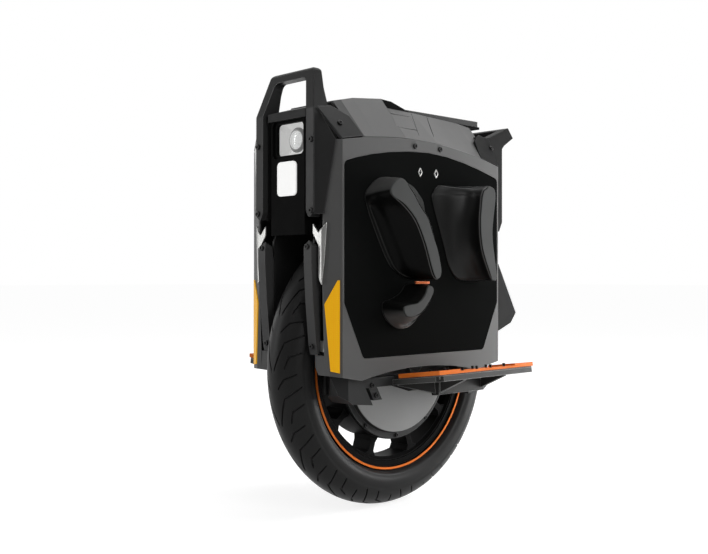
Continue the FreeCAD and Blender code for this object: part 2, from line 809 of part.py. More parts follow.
def make_valve():
    """Valve stem through the rim barrel, between two spokes."""
    start = V(0, 0, axle_z + rim_seat_radius - rim_barrel_wall / 2 - valve_length / 2)
    stem = rod(start, Z_AXIS, valve_radius, valve_length)
    return stem


def make_rim_stripes():
    """Orange ring on the outer face of each rim flange."""
    band = ring(V(0, rim_half_width, axle_z), Y_AXIS, rim_radius, rim_radius - stripe_width, stripe_height)
    return pair(band)


def make_motor_cover():
    """Left motor cover: flange on the hub ring, raised disc and bearing seat."""
    inside = cover_face_y - cover_wall
    seat_start = inside - bearing_width - rest_gap
    seat_outer = bearing_radius + bearing_seat_wall
    lip = rim_half_width + cover_flange_wall
    rim_of_face = cover_face_radius + cover_bevel
    inner_wall = hub_bore - hub_wall
    seal = axle_radius + axle_seal_gap
    return turned([(seal, inside), (seal, cover_face_y), (cover_face_radius, cover_face_y), (rim_of_face, lip),
                   (cover_radius, lip), (cover_radius, rim_half_width), (inner_wall, rim_half_width),
                   (inner_wall, inside), (seat_outer, inside), (seat_outer, seat_start),
                   (bearing_radius, seat_start), (bearing_radius, inside)])


def make_cover_screws():
    """Screw heads round both motor covers."""
    head_y = rim_half_width + cover_flange_wall
    head = rod(V(0, head_y, axle_z + cover_screw_circle), Y_AXIS, cover_screw_radius, cover_screw_height)
    heads = around_axle(head, cover_screw_count)
    return Part.makeCompound(heads + [mirrored(h) for h in heads])


def make_bearings():
    """Wheel bearing on each side of the axle."""
    start = cover_face_y - cover_wall - bearing_width
    race = ring(V(0, start, axle_z), Y_AXIS, bearing_radius - press_gap, axle_radius + running_gap, bearing_width)
    return pair(race)


def make_magnet_ring():
    """Magnets inside the hub ring."""
    start = V(0, -magnet_half_width, axle_z)
    return ring(start, Y_AXIS, magnet_radius, magnet_radius - magnet_wall, 2 * magnet_half_width)


def make_stator():
    """Slotted stator ring on a web round the axle."""
    bore = stator_radius - stator_ring_wall
    core = ring(V(0, -stator_half_width, axle_z), Y_AXIS, stator_radius, bore, 2 * stator_half_width)
    slot_bottom = stator_radius - stator_slot_depth
    half = stator_slot_width / 2
    slot = box(-half, half, -stator_half_width, stator_half_width, axle_z + slot_bottom, axle_z + stator_radius)
    core = core.cut(around_axle(slot, stator_slot_count))
    web = ring(V(0, -stator_web_half_width, axle_z), Y_AXIS, bore + spoke_root, axle_radius + press_gap,
               2 * stator_web_half_width)
    return joined([core, web])


def make_windings():
    """End turns of the windings on both faces of the stator."""
    outer = stator_radius - winding_edge
    inner = stator_radius - stator_ring_wall + winding_edge
    return pair(ring(V(0, stator_half_width, axle_z), Y_AXIS, outer, inner, winding_height))


def make_axle():
    """Stepped axle, held in the carriers by its thinner ends."""
    body = rod(V(0, -carrier_y, axle_z), Y_AXIS, axle_radius, 2 * carrier_y)
    ends = rod(V(0, -axle_half_length, axle_z), Y_AXIS, axle_end_radius, 2 * axle_half_length)
    return joined([body, ends])


def make_axle_nuts():
    """Hexagon nuts that clamp the axle ends in the carriers."""
    turns = [2 * math.pi * i / axle_nut_sides for i in range(axle_nut_sides)]
    corners = [(axle_nut_radius * math.cos(t), axle_z + axle_nut_radius * math.sin(t)) for t in turns]
    outer = carrier_y + carrier_wall
    nut = side_prism(corners, outer, axle_half_length)
    return pair(nut.cut(rod(V(0, outer, axle_z), Y_AXIS, axle_end_radius + press_gap, axle_half_length - outer)))


def make_axle_carriers():
    """Plate on each side from the axle to the two slide housings, with a lug for the shock rod."""
    low = axle_z - carrier_drop
    arm_low = low + carrier_arm_lift
    top = axle_z + carrier_rise
    arm_top = arm_low + carrier_drop + carrier_rise - carrier_arm_lift / 2
    outline = [(rear_rail_x, arm_low), (-carrier_bend_half_length, arm_low), (-carrier_flat_half_length, low),
               (carrier_flat_half_length, low), (carrier_bend_half_length, arm_low), (front_rail_x, arm_low),
               (front_rail_x, arm_top), (carrier_flat_half_length, top), (-carrier_flat_half_length, top),
               (rear_rail_x, arm_top)]
    plate = side_prism(outline, carrier_y, carrier_y + carrier_wall)
    shapes = [plate]
    bores = [rod(V(0, carrier_y, axle_z), Y_AXIS, axle_end_radius + press_gap, carrier_wall)]
    bush_radius = rail_radius + running_gap + bush_wall
    for x, y in rail_places:
        base = V(x, y, housing_bottom_z)
        shapes.append(rod(base, Z_AXIS, housing_radius, housing_height))
        bores.append(rod(base, Z_AXIS, bush_radius + press_gap, housing_height))
    lug_top = shock_seat_z()
    shapes.append(box(shock_x - shock_lug_length / 2, shock_x + shock_lug_length / 2, carrier_y,
                      rail_y + shock_lug_length / 2, lug_top - shock_lug_length, lug_top))
    return pair(joined(shapes).cut(bores))


def shock_seat_z():
    """Height of the lug that the shock rod stands on."""
    return axle_z + carrier_rise + shock_cap


def make_slide_bushes():
    """Plain bush in each slide housing."""
    shapes = []
    for x, y in rail_places:
        inner = rail_radius + running_gap
        shapes.append(ring(V(x, y, housing_bottom_z), Z_AXIS, inner + bush_wall, inner, housing_height))
    return Part.makeCompound(shapes + [mirrored(s) for s in shapes])


def make_shock_rods():
    """Shock rod with its piston, standing on each carrier."""
    base = V(shock_x, rail_y, shock_seat_z())
    shaft = rod(base, Z_AXIS, shock_rod_radius, shock_rod_length)
    piston_base = base + Z_AXIS * (shock_rod_length - shock_piston_height)
    return pair(joined([shaft, rod(piston_base, Z_AXIS, shock_piston_radius, shock_piston_height)]))


def make_shock_bodies():
    """Shock cylinder on each side, with a lug to the side frame."""
    base = V(shock_x, rail_y, shock_body_bottom_z)
    length = shock_body_top_z - shock_body_bottom_z
    lug_outer = rail_y - shock_bore_radius
    lug = box(shock_x - shock_lug_length / 2, shock_x + shock_lug_length / 2, frame_y + frame_wall, lug_outer,
              shock_body_top_z - shock_lug_height, shock_body_top_z)
    body = joined([rod(base, Z_AXIS, shock_body_radius, length), lug])
    bore = rod(base + Z_AXIS * shock_cap, Z_AXIS, shock_bore_radius, length - 2 * shock_cap)
    mouth = rod(base, Z_AXIS, shock_rod_radius + rest_gap, shock_cap)
    return pair(body.cut([bore, mouth]))


def make_fork_rails():
    """Upright rails that the wheel slides on."""
    rails = [rod(V(x, y, rail_bottom_z), Z_AXIS, rail_radius, rail_top_z - rail_bottom_z) for x, y in rail_places]
    return Part.makeCompound(rails + [mirrored(r) for r in rails])


def make_side_frames():
    """Plate on each side of the wheel: legs down to the feet and bosses round the rails."""
    leg_front = frame_front_x - frame_leg_length
    leg_rear = frame_rear_x + frame_leg_length
    toe_x = frame_front_x - frame_toe_setback
    outline = [(leg_front, frame_bottom_z), (toe_x, frame_bottom_z), (toe_x, frame_toe_bottom_z),
               (frame_front_x, frame_toe_top_z), (frame_front_x, frame_neck_z),
               (frame_top_front_x, frame_neck_z + frame_neck_rise), (frame_top_front_x, frame_top_z),
               (frame_rear_x, frame_top_z), (frame_rear_x, frame_bottom_z), (leg_rear, frame_bottom_z),
               (leg_rear, frame_arch_z), (leg_front, frame_arch_z)]
    outer = frame_y + frame_wall
    shapes = [side_prism(outline, frame_y, outer)]
    bores = []
    boss_base = rail_top_z - rail_boss_height
    for x, y in rail_places:
        shapes.append(box(x - rail_boss_half_length, x + rail_boss_half_length, outer, outer + rail_boss_reach,
                          boss_base, rail_top_z))
        bores.append(rod(V(x, y, boss_base), Z_AXIS, rail_radius + press_gap, rail_boss_height))
    return pair(joined(shapes).cut(bores))


def make_battery_packs():
    """Battery pack on each side, against the side frame."""
    inner = frame_y + frame_wall + rest_gap
    corners = [V(battery_rear_x, inner, battery_bottom_z), V(battery_front_x, inner, battery_bottom_z),
               V(battery_front_x, inner, battery_top_z), V(battery_rear_x, inner, battery_top_z)]
    return pair(solid_of(rounded_wire(corners, battery_round), V(0, battery_depth, 0)))


def make_wheel_arch():
    """Liner over the tyre, round its highest place."""
    centre_z = axle_z + travel
    inner = tyre_radius + arch_gap
    half_width = frame_y - rest_gap
    liner = ring(V(0, -half_width, centre_z), Y_AXIS, inner + arch_wall, inner, 2 * half_width)
    keep = box(tail_return_x + arch_end_gap, nose_return_x - arch_end_gap, -half_width, half_width, centre_z, frame_top_z)
    return liner.common(keep)


def make_controller():
    """Motor controller: base plate on the side frames with a finned heat sink."""
    base_z = frame_top_z
    plate_top = base_z + controller_plate
    half_length = controller_half_length
    half_width = controller_half_width
    shapes = [box(-half_length, half_length, -half_width, half_width, base_z, plate_top)]
    pitch = (2 * half_width - fin_wall) / (fin_count - 1)
    for i in range(fin_count):
        y = -half_width + i * pitch
        shapes.append(box(-half_length, half_length, y, y + fin_wall, plate_top, plate_top + fin_height))
    return joined(shapes)


def foot_solid(x_from, length):
    """Foot block at the lower end of one rail, pointed in plan."""
    outline = placed(foot_shares, x_from, foot_bottom_z, length, foot_height)
    inner = frame_y + frame_wall
    tip = x_from + length
    heel = tip - math.copysign(foot_point, length)
    plan = [(x_from, inner), (heel, inner), (tip, (inner + foot_outer_y) / 2), (heel, foot_outer_y), (x_from, foot_outer_y)]
    return side_prism(outline, inner, foot_outer_y).common(plan_prism(plan, foot_bottom_z, foot_bottom_z + foot_height))


def make_fork_feet():
    """Front and rear foot on each side, bored for the rails."""
    bores = [rod(V(x, y, rail_bottom_z), Z_AXIS, rail_radius + press_gap, foot_height) for x, y in rail_places]
    front = foot_solid(foot_front_x, foot_front_length).cut(bores)
    rear = foot_solid(foot_rear_x, -foot_rear_length).cut(bores)
    return Part.makeCompound([front, rear, mirrored(front), mirrored(rear)])


def tab_x(x_from, length, z, reach):
    """X of the bolt tab beside a foot at a height, so far from the foot's edge."""
    lean = foot_shares[1][0] * length * (z - foot_bottom_z) / (foot_shares[1][1] * foot_height)
    return x_from + lean - math.copysign(reach, length)


def hanger_tab(x_from, length):
    """Bolt tab of the hanger, along the edge of one foot."""
    near = hanger_tab_gap
    far = hanger_tab_gap + hanger_tab_width
    outline = [(tab_x(x_from, length, z, reach), z)
               for z, reach in ((hanger_tab_bottom_z, near), (hanger_top_z, near), (hanger_top_z, far), (hanger_tab_bottom_z, far))]
    return side_prism(outline, foot_outer_y - hanger_tab_wall, foot_outer_y)


def make_pedal_hangers():
    """Beam between the two feet of a side, with bolt tabs and with lugs for the pedal hinge."""
    beam = box(foot_rear_x - foot_rear_length / 2, foot_front_x + foot_front_length / 2, hanger_inner_y,
               foot_outer_y, hanger_bottom_z, hanger_top_z)
    feet = [foot_solid(foot_front_x, foot_front_length), foot_solid(foot_rear_x, -foot_rear_length)]
    beam = max(beam.cut(feet).Solids, key=lambda s: s.Volume)
    tabs = [hanger_tab(foot_front_x, foot_front_length), hanger_tab(foot_rear_x, -foot_rear_length)]
    shapes = [beam] + tabs
    bores = []
    lug_outline = [(hanger_inner_y, hanger_bottom_z), (hinge_y, hinge_z - lug_radius), (hinge_y, hinge_z + lug_radius),
                   (hanger_inner_y, hanger_top_z)]
    for x_from in (lug_half_gap, -lug_half_gap - lug_wall):
        shapes.append(front_prism(lug_outline, x_from, x_from + lug_wall))
        eye = V(x_from, hinge_y, hinge_z)
        shapes.append(rod(eye, X_AXIS, lug_radius, lug_wall))
        bores.append(rod(eye, X_AXIS, hinge_pin_radius + press_gap, lug_wall))
    return pair(joined(shapes).cut(bores))


def make_hanger_bolts():
    """Bolt heads on the outer face of each bolt tab."""
    shapes = []
    for x_from, length in ((foot_front_x, foot_front_length), (foot_rear_x, -foot_rear_length)):
        for share in hanger_bolt_reach_shares:
            z = hanger_tab_bottom_z + share * (hanger_top_z - hanger_tab_bottom_z)
            x = tab_x(x_from, length, z, hanger_tab_gap + hanger_tab_width / 2)
            shapes.append(rod(V(x, foot_outer_y, z), Y_AXIS, hanger_bolt_radius, hanger_bolt_height))
    return Part.makeCompound(shapes + [mirrored(s) for s in shapes])


def make_pedal_pins():
    """Hinge pin of each pedal, headed at both ends."""
    reach = lug_half_gap + lug_wall
    shaft = rod(V(-reach - hinge_pin_head, hinge_y, hinge_z), X_AXIS, hinge_pin_radius, 2 * (reach + hinge_pin_head))
    heads = [rod(V(x, hinge_y, hinge_z), X_AXIS, hinge_pin_radius + hinge_pin_head / 2, hinge_pin_head)
             for x in (reach, -reach - hinge_pin_head)]
    return pair(joined([shaft] + heads))


def on_pedal(shape):
    """Tilt a left pedal piece from flat to its riding angle about the hinge pin."""
    tilted = shape.copy()
    tilted.rotate(V(0, hinge_y, hinge_z), X_AXIS, pedal_tilt_deg)
    return tilted


def pedal_box(x_from, x_to, out_from, out_to, up_from, up_to):
    """Box on the flat pedal, measured outward and up from the hinge pin."""
    return box(x_from, x_to, hinge_y + out_from, hinge_y + out_to, hinge_z + up_from, hinge_z + up_to)


def pedal_rib(start, end, start_depth, end_depth):
    """Upright rib under the deck between two (x, outward) places."""
    run = V(end[0] - start[0], end[1] - start[1], 0)
    side = V(-run.y, run.x, 0)
    side.normalize()
    corners = [V(start[0], hinge_y + start[1], hinge_z + rib_wall), V(end[0], hinge_y + end[1], hinge_z + rib_wall),
               V(end[0], hinge_y + end[1], hinge_z - end_depth), V(start[0], hinge_y + start[1], hinge_z - start_depth)]
    corners = [c - side * (rib_wall / 2) for c in corners]
    return solid_of(closed(corners), side * rib_wall)


def make_pedal():
    """Left pedal: deck with a raised land, ribs, keel and hinge knuckle."""
    corner = pedal_corner
    plan = [(pedal_front_x, hinge_y + pedal_inner), (pedal_front_x, hinge_y + pedal_outer - corner),
            (pedal_front_x - corner, hinge_y + pedal_outer), (pedal_rear_x + corner, hinge_y + pedal_outer),
            (pedal_rear_x, hinge_y + pedal_outer - corner), (pedal_rear_x, hinge_y + pedal_inner),
            (-pedal_notch_half_length, hinge_y + pedal_inner), (-pedal_notch_half_length, hinge_y + pedal_notch),
            (pedal_notch_half_length, hinge_y + pedal_notch), (pedal_notch_half_length, hinge_y + pedal_inner)]
    deck = plan_prism(plan, hinge_z, hinge_z + deck_wall)
    land = pedal_box(pedal_rear_x + land_inset, pedal_front_x - land_inset, pedal_notch + land_inset,
                     pedal_outer - land_inset, deck_wall / 2, deck_wall + land_height)
    half = lug_half_gap - knuckle_gap
    knuckle = rod(V(-half, hinge_y, hinge_z), X_AXIS, knuckle_radius, 2 * half)
    web = pedal_box(-half, half, 0, pedal_notch + rib_wall, -rib_wall, deck_wall)
    keel_section = [(hinge_y + keel_inner, hinge_z + rib_wall), (hinge_y + keel_outer, hinge_z + rib_wall),
                    (hinge_y + keel_outer - keel_taper, hinge_z - keel_depth),
                    (hinge_y + keel_inner + keel_taper, hinge_z - keel_depth)]
    keel = front_prism(keel_section, keel_rear_x, keel_front_x)
    middle = (keel_inner + keel_outer) / 2
    inner = pedal_inner + rib_wall
    outer = pedal_outer - corner
    deep = keel_depth - rib_tip_depth
    ribs = []
    for keel_x, end_x in ((keel_front_x - rib_wall, pedal_front_x - rib_wall),
                          (keel_rear_x + rib_wall, pedal_rear_x + rib_wall)):
        ribs.append(pedal_rib((keel_x, middle), (end_x, inner), deep, rib_tip_depth))
        ribs.append(pedal_rib((keel_x, middle), (keel_x, outer), deep, rib_tip_depth))
        ribs.append(pedal_rib((keel_x, 0), (keel_x, middle), knuckle_radius, deep))
    pin_hole = rod(V(-half, hinge_y, hinge_z), X_AXIS, hinge_pin_radius + running_gap, 2 * half)
    whole = joined([deck, land, knuckle, web, keel] + ribs)
    return on_pedal(whole.cut(pin_hole))


def grip_limits():
    """Edges of the grip frame: rear, front, inner and outer."""
    inset = land_inset / 2
    return pedal_rear_x + inset, pedal_front_x - inset, pedal_notch + land_inset, pedal_outer - inset


def make_pedal_grip():
    """Orange grip frame on the left pedal: low ring, raised end bars and corner blocks."""
    rear, front, inner, outer = grip_limits()
    base = deck_wall + land_height
    top = base + grip_bar_height
    low = base + grip_wall
    middle_share = 0.5
    middle = inner + middle_share * (outer - inner)
    shapes = [pedal_box(rear, front, outer - grip_side, outer, base, low),
              pedal_box(rear, front, inner, inner + grip_side, base, low),
              pedal_box(rear, front, middle - grip_side / 2, middle + grip_side / 2, base, low),
              pedal_box(front - grip_bar, front, inner, outer, base, top),
              pedal_box(rear, rear + grip_bar, inner, outer, base, top),
              pedal_box(front - grip_block_length, front, outer - grip_side, outer, base, top),
              pedal_box(rear, rear + grip_block_length, outer - grip_side, outer, base, top)]
    return on_pedal(joined(shapes))


def make_pedal_studs():
    """Studs of the left pedal, in the windows of the grip frame."""
    rear, front, inner, outer = grip_limits()
    base = deck_wall + land_height
    row_shares = [0.28, 0.72]
    column_pitch = (front - rear - 2 * grip_bar) / (stud_columns + 1)
    studs = []
    for share in row_shares:
        for i in range(stud_columns):
            place = V(rear + grip_bar + (i + 1) * column_pitch, hinge_y + inner + share * (outer - inner), hinge_z + base)
            studs.append(on_pedal(rod(place, Z_AXIS, stud_radius, stud_height)))
    return Part.makeCompound(studs)


def band_zone(lift):
    """Everything below the arched top line of the side shells, raised by a gap."""
    front = V(shell_front_x, 0, band_front_z + lift)
    crown = V(band_crown_x, 0, band_crown_z + lift)
    rear = V(shell_rear_x, 0, band_rear_z + lift)
    ahead = front + X_AXIS * overrun
    behind = rear - X_AXIS * overrun
    low_front = V(ahead.x, 0, foot_bottom_z)
    low_rear = V(behind.x, 0, foot_bottom_z)
    arch = Part.Arc(front, crown, rear)
    marks = [arch.value(arch.FirstParameter + (arch.LastParameter - arch.FirstParameter) * i / (2 * band_steps))
             for i in range(2 * band_steps + 1)]
    edges = [Part.Arc(*marks[i:i + 3]).toShape() for i in range(0, 2 * band_steps, 2)]
    corners = [rear, behind, low_rear, low_front, ahead, front]
    for a, b in zip(corners, corners[1:]):
        edges.append(Part.LineSegment(a, b).toShape())
    zone = Part.Face(Part.Wire(edges)).extrude(V(0, 2 * shell_y + overrun, 0))
    zone.translate(V(0, -shell_y - overrun / 2, 0))
    return zone


def shell_side_mask():
    """Side view of a shell below its top line: nose and tail edges and the arched lower edge."""
    top = band_crown_z + overrun
    nose = [V(shell_nose_top_x, 0, top), V(shell_nose_top_x, 0, band_front_z), V(shell_nose_mid_x, 0, shell_nose_mid_z),
            V(shell_nose_x, 0, shell_nose_z), V(shell_nose_low_x, 0, shell_low_front_z),
            V(shell_low_dip_x, 0, shell_low_dip_z)]
    tail = [V(shell_low_rear_dip_x, 0, shell_low_dip_z), V(shell_rear_x, 0, shell_low_rear_z),
            V(shell_tail_x, 0, shell_low_rear_z), V(shell_tail_x, 0, top), V(shell_nose_top_x, 0, top)]
    edges = [Part.LineSegment(a, b).toShape() for a, b in zip(nose, nose[1:])]
    edges.append(Part.Arc(nose[-1], V(shell_low_arch_x, 0, shell_low_arch_z), tail[0]).toShape())
    edges += [Part.LineSegment(a, b).toShape() for a, b in zip(tail, tail[1:])]
    return Part.Face(Part.Wire(edges)).extrude(V(0, shell_y + overrun, 0))


def panel_corners(y):
    """Corners of the left side panel on a Y plane."""
    length = panel_front_x - panel_rear_x
    height = panel_top_z - panel_bottom_z
    outline = placed(panel_shares, panel_rear_x, panel_bottom_z, length, height)
    return [V(x, y, z) for x, z in outline]


def insert_holes():
    """Holes for the threaded inserts through the left panel and shell."""
    start = shell_y + panel_proud - insert_length
    return [rod(V(x, start, insert_z), Y_AXIS, insert_body_radius + press_gap, insert_length + overrun) for x in insert_x]


def make_side_shell():
    """Left side shell: side wall with front and rear chamfers, toe plate, arched top and lower edge, panel recess."""
    wall = shell_wall
    inner_y = shell_y - wall
    outer = [(shell_nose_x, shell_nose_y), (shell_front_x, shell_y), (shell_rear_x, shell_y), (shell_tail_x, shell_nose_y)]
    inner = [(shell_tail_x + wall, shell_nose_y), (shell_rear_x + wall / 2, inner_y), (shell_front_x - wall / 2, inner_y),
             (shell_nose_x - wall, shell_nose_y)]
    skin = plan_prism(outer + inner, foot_bottom_z, band_crown_z + overrun)
    skin = skin.common(shell_side_mask()).common(band_zone(0))
    toe_view = [(toe_inner_y, toe_top_z), (toe_outer_y, toe_top_z), (toe_outer_y, shell_low_front_z),
                (toe_foot_y, shell_low_front_z), (toe_inner_y, toe_bevel_z)]
    toe = front_prism(toe_view, frame_front_x + rest_gap, shell_nose_low_x)
    skin = joined([skin, toe])
    recess = solid_of(rounded_wire(panel_corners(shell_y - panel_recess), panel_corner), V(0, overrun, 0))
    return skin.cut([recess] + insert_holes())


def make_side_panel():
    """Left black panel, seated in the recess of its shell."""
    grown = rounded_wire(panel_corners(shell_y - panel_recess), panel_corner)
    plate = solid_of(grown.makeOffset2D(-panel_edge_gap), V(0, panel_recess + panel_proud, 0))
    return plate.cut(insert_holes())


def chamfer_point(share, z):
    """A point on the left front chamfer, by share of its width from the outer edge."""
    spot = V(shell_front_x, shell_y, z) + chamfer_along * (share * chamfer_length)
    return spot


def chamfer_plate(shares, z_from, z_to, wall):
    """Plate lying on the left front chamfer."""
    corners = [chamfer_point(s, z_from + h * (z_to - z_from)) for s, h in shares]
    return solid_of(closed(corners), chamfer_out * wall)


def make_corner_reflectors():
    """Amber reflector on each front corner."""
    return pair(chamfer_plate(reflector_shares, reflector_bottom_z, reflector_top_z, reflector_wall))


def make_corner_brackets():
    """Forked silver bracket round each chamfer's inner edge, and the small clip low down beside the guard."""
    wing = chamfer_plate(bracket_shares, bracket_bottom_z, bracket_top_z, bracket_wall)
    height = bracket_top_z - bracket_bottom_z
    tip, notch, crook, foot = [bracket_bottom_z + share * height for share in bracket_arm_shares]
    nose = chamfer_point(1, bracket_bottom_z) + chamfer_out * bracket_wall
    fork = [(bracket_inner_y, tip), (bracket_stem_y, notch), (nose.y, bracket_bottom_z + bracket_shares[-1][1] * height),
            (nose.y, bracket_bottom_z), (bracket_stem_y, foot), (bracket_stem_y, crook), (bracket_inner_y, notch)]
    arm = front_prism(fork, nose.x - bracket_wall, nose.x)
    strip = joined([wing, arm]).cut(make_side_shell())
    clip = box(frame_front_x - clip_depth, frame_front_x, guard_outer_y, shell_nose_y - seam_gap, clip_bottom_z, clip_top_z)
    return Part.makeCompound([strip, clip, mirrored(strip), mirrored(clip)])


def make_fork_guards():
    """Curved guard bar in front of each side frame, pointed at the top."""
    outline = placed(guard_shares, guard_front_x, guard_bottom_z, -guard_depth, guard_height)
    bar = side_prism(outline, guard_inner_y, guard_outer_y)
    top = guard_bottom_z + guard_height
    low = top - guard_point_height
    peak = guard_inner_y + guard_point_share * (guard_outer_y - guard_inner_y)
    front_view = [(guard_inner_y, guard_bottom_z), (guard_outer_y, guard_bottom_z), (guard_outer_y, low), (peak, top),
                  (guard_inner_y, low)]
    return pair(bar.common(front_prism(front_view, guard_front_x - guard_depth, guard_front_x)))


def cover_section(x, edge_z, top_z, wall):
    """Cross-section of the top cover at a station, drawn in by a wall."""
    half = cover_half_width - wall
    top_half = cover_top_half_width - wall / 2
    skirt = cover_skirt_z - (overrun if wall else 0)
    points = [(half, skirt), (half, edge_z - wall / 2), (top_half, top_z - wall)]
    outline = points + [(-y, z) for y, z in reversed(points)]
    return closed([V(x, y, z) for y, z in outline])


def cover_body(stations, wall):
    """Ruled solid through the cover's stations, drawn in by a wall."""
    return Part.makeLoft([cover_section(x, e, t, wall) for x, e, t in stations], True, True)


def port_frame():
    """Centre of the charge flap on the left slope, with the directions down the slope and out of it."""
    (x_a, edge_a, top_a), (x_b, edge_b, top_b) = cover_rear_stations[:2]
    share = (port_x - x_a) / (x_b - x_a)
    edge = edge_a + share * (edge_b - edge_a)
    top = top_a + share * (top_b - top_a)
    down = V(0, cover_half_width - cover_top_half_width, edge - top)
    centre = V(port_x, cover_top_half_width, top) + down * port_slope_share
    down.normalize()
    return centre, down, X_AXIS.cross(down)


def flap_outline(grow, trim, lift):
    """Leaning outline of the charge flap, grown by a gap, trimmed at its upper edge and lifted off the slope."""
    centre, down, out = port_frame()
    half = flap_length / 2 + grow
    reach = flap_width / 2 + grow
    top = trim - reach
    lean = flap_lean
    points = [(half - lean, top), (half + lean, reach), (-half + lean, reach), (-half - lean, top)]
    return closed([centre + X_AXIS * u + down * v + out * lift for u, v in points])


def make_top_cover(cuts):
    """Grey top cover: front hump and lower rear stretch, with the flap recess and port hole."""
    outer = joined([cover_body(cover_front_stations, 0), cover_body(cover_rear_stations, 0)])
    x_rear, edge, top = cover_rear_stations[-1]
    inside_stations = cover_rear_stations[:-1] + [(x_rear + cover_shell, edge, top)]
    x_front, edge_front, top_front = cover_front_stations[0]
    mouth = [(x_front + overrun, edge_front, top_front), (x_front, edge_front, top_front)]
    half = cover_half_width - cover_shell
    under_end = box(x_rear - overrun, x_rear + overrun, -half, half, cover_skirt_z, frame_top_z + seam_gap)
    hollow = [cover_body(inside_stations, cover_shell), cover_body(cover_front_stations, cover_shell),
              cover_body(mouth, cover_shell), under_end]
    centre, _, out = port_frame()
    recess = solid_of(flap_outline(flap_gap, 0, -flap_wall), out * overrun)
    hole = rod(centre - out * overrun, out, port_radius + press_gap, 2 * overrun)
    deck_half = deck_half_width + rest_gap
    deck_space = box(deck_rear_x, cover_step_x, -deck_half, deck_half, deck_slab_z(), deck_hump_z + overrun)
    return outer.cut(hollow).cut([band_zone(seam_gap), recess, hole, deck_space] + cuts)


def make_charge_port():
    """Charge socket under the flap, with a blind bore."""
    centre, _, out = port_frame()
    mouth = centre - out * (flap_wall + rest_gap)
    body = rod(mouth - out * port_length, out, port_radius, port_length)
    return body.cut(rod(mouth - out * port_bore_depth, out, port_bore_radius, port_bore_depth))


def make_charge_flap():
    """Charge flap, with a thin hinge barrel along its upper edge."""
    _, _, out = port_frame()
    plate = solid_of(flap_outline(0, flap_wall / 2, rest_gap - flap_wall), out * flap_wall)
    half = flap_length / 2 - flap_lean
    axis = flap_hinge_point()
    return joined([plate, rod(axis - X_AXIS * half, X_AXIS, flap_wall / 2, 2 * half)])


def flap_hinge_point():
    """Middle of the charge flap's hinge axis."""
    centre, down, out = port_frame()
    return centre - down * (flap_width / 2 - flap_wall / 2) + out * (rest_gap - flap_wall / 2)


def make_top_deck():
    """Black top deck: front hump with the button well, slab and raised core between the trolley arms."""
    hump_front = cover_step_x
    hump_flat_rear = cover_step_x - deck_hump_length
    hump_rear = hump_flat_rear - deck_ramp_length
    hump_base = deck_base_z + deck_core_height
    hump_outline = [(hump_front, hump_base), (hump_front, deck_hump_z), (hump_flat_rear, deck_hump_rear_z),
                    (hump_rear, hump_base + deck_ramp_rise), (hump_rear, hump_base)]
    hump = side_prism(hump_outline, -deck_half_width, deck_half_width)
    foot = box(hump_rear, hump_front, -deck_half_width, deck_half_width, deck_slab_z(), hump_base)
    slab = box(deck_rear_x, hump_front, -deck_half_width, deck_half_width, deck_slab_z(), deck_base_z)
    core = box(deck_core_rear_x, hump_rear, -deck_core_half_width, deck_core_half_width, deck_base_z,
               deck_base_z + deck_core_height)
    well_top = deck_hump_z + overrun
    well_floor = button_floor_z() - button_travel - rest_gap
    well = rod(V(button_x, 0, well_floor), Z_AXIS, button_radius + rest_gap, well_top - well_floor)
    pins = rod(V(trolley_pivot_x, -deck_half_width + rest_gap, trolley_pivot_z()), Y_AXIS, trolley_pin_radius,
               2 * (deck_half_width - rest_gap))
    return joined([joined([hump, foot, slab, core]).cut(well), pins])


def deck_slab_z():
    """Underside of the deck slab."""
    return deck_base_z - deck_slab


def button_floor_z():
    """Underside of the power button at rest."""
    share = (cover_step_x - button_x) / deck_hump_length
    face = deck_hump_z + share * (deck_hump_rear_z - deck_hump_z)
    return face + button_proud - button_height


def make_power_button():
    """Round power button in the deck hump."""
    return rod(V(button_x, 0, button_floor_z()), Z_AXIS, button_radius, button_height)


def trolley_pivot_z():
    """Height of the trolley handle's pivot, in the middle of its arms."""
    return deck_base_z + rest_gap + trolley_height / 2


def make_trolley_handle():
    """Fold-up trolley handle: two arms and a grip, lying in the top deck."""
    low = deck_base_z + rest_gap
    top = low + trolley_height
    inner = deck_core_half_width + rest_gap
    outer = inner + trolley_arm_width
    shapes = []
    for y_from in (inner, -outer):
        shapes.append(box(deck_rear_x, trolley_pivot_x, y_from, y_from + trolley_arm_width, low, top))
        eye = V(trolley_pivot_x, y_from, trolley_pivot_z())
        shapes.append(rod(eye, Y_AXIS, trolley_height / 2, trolley_arm_width))
    shapes.append(box(deck_rear_x, deck_rear_x + trolley_grip_length, -outer, outer, low, top))
    hole = rod(V(trolley_pivot_x, -outer, trolley_pivot_z()), Y_AXIS, trolley_pin_radius + running_gap, 2 * outer)
    return joined(shapes).cut(hole)


def plane_height(a, b, c, x, y):
    """Height at (x, y) of the plane through three points."""
    normal = (b - a).cross(c - a)
    return a.z - (normal.x * (x - a.x) + normal.y * (y - a.y)) / normal.z


def shoulder_plate(top, low, back, inner):
    """Left shoulder plate of a handle, on a slanted plane."""
    a, b, c = V(*top), V(*low), V(*back)
    corners = [a, b, c] + [V(x, y, plane_height(a, b, c, x, y)) for x, y in inner]
    normal = (b - a).cross(c - a)
    normal.normalize()
    if normal.z > 0:
        normal = normal * -1
    return solid_of(closed(corners), normal * shoulder_wall)


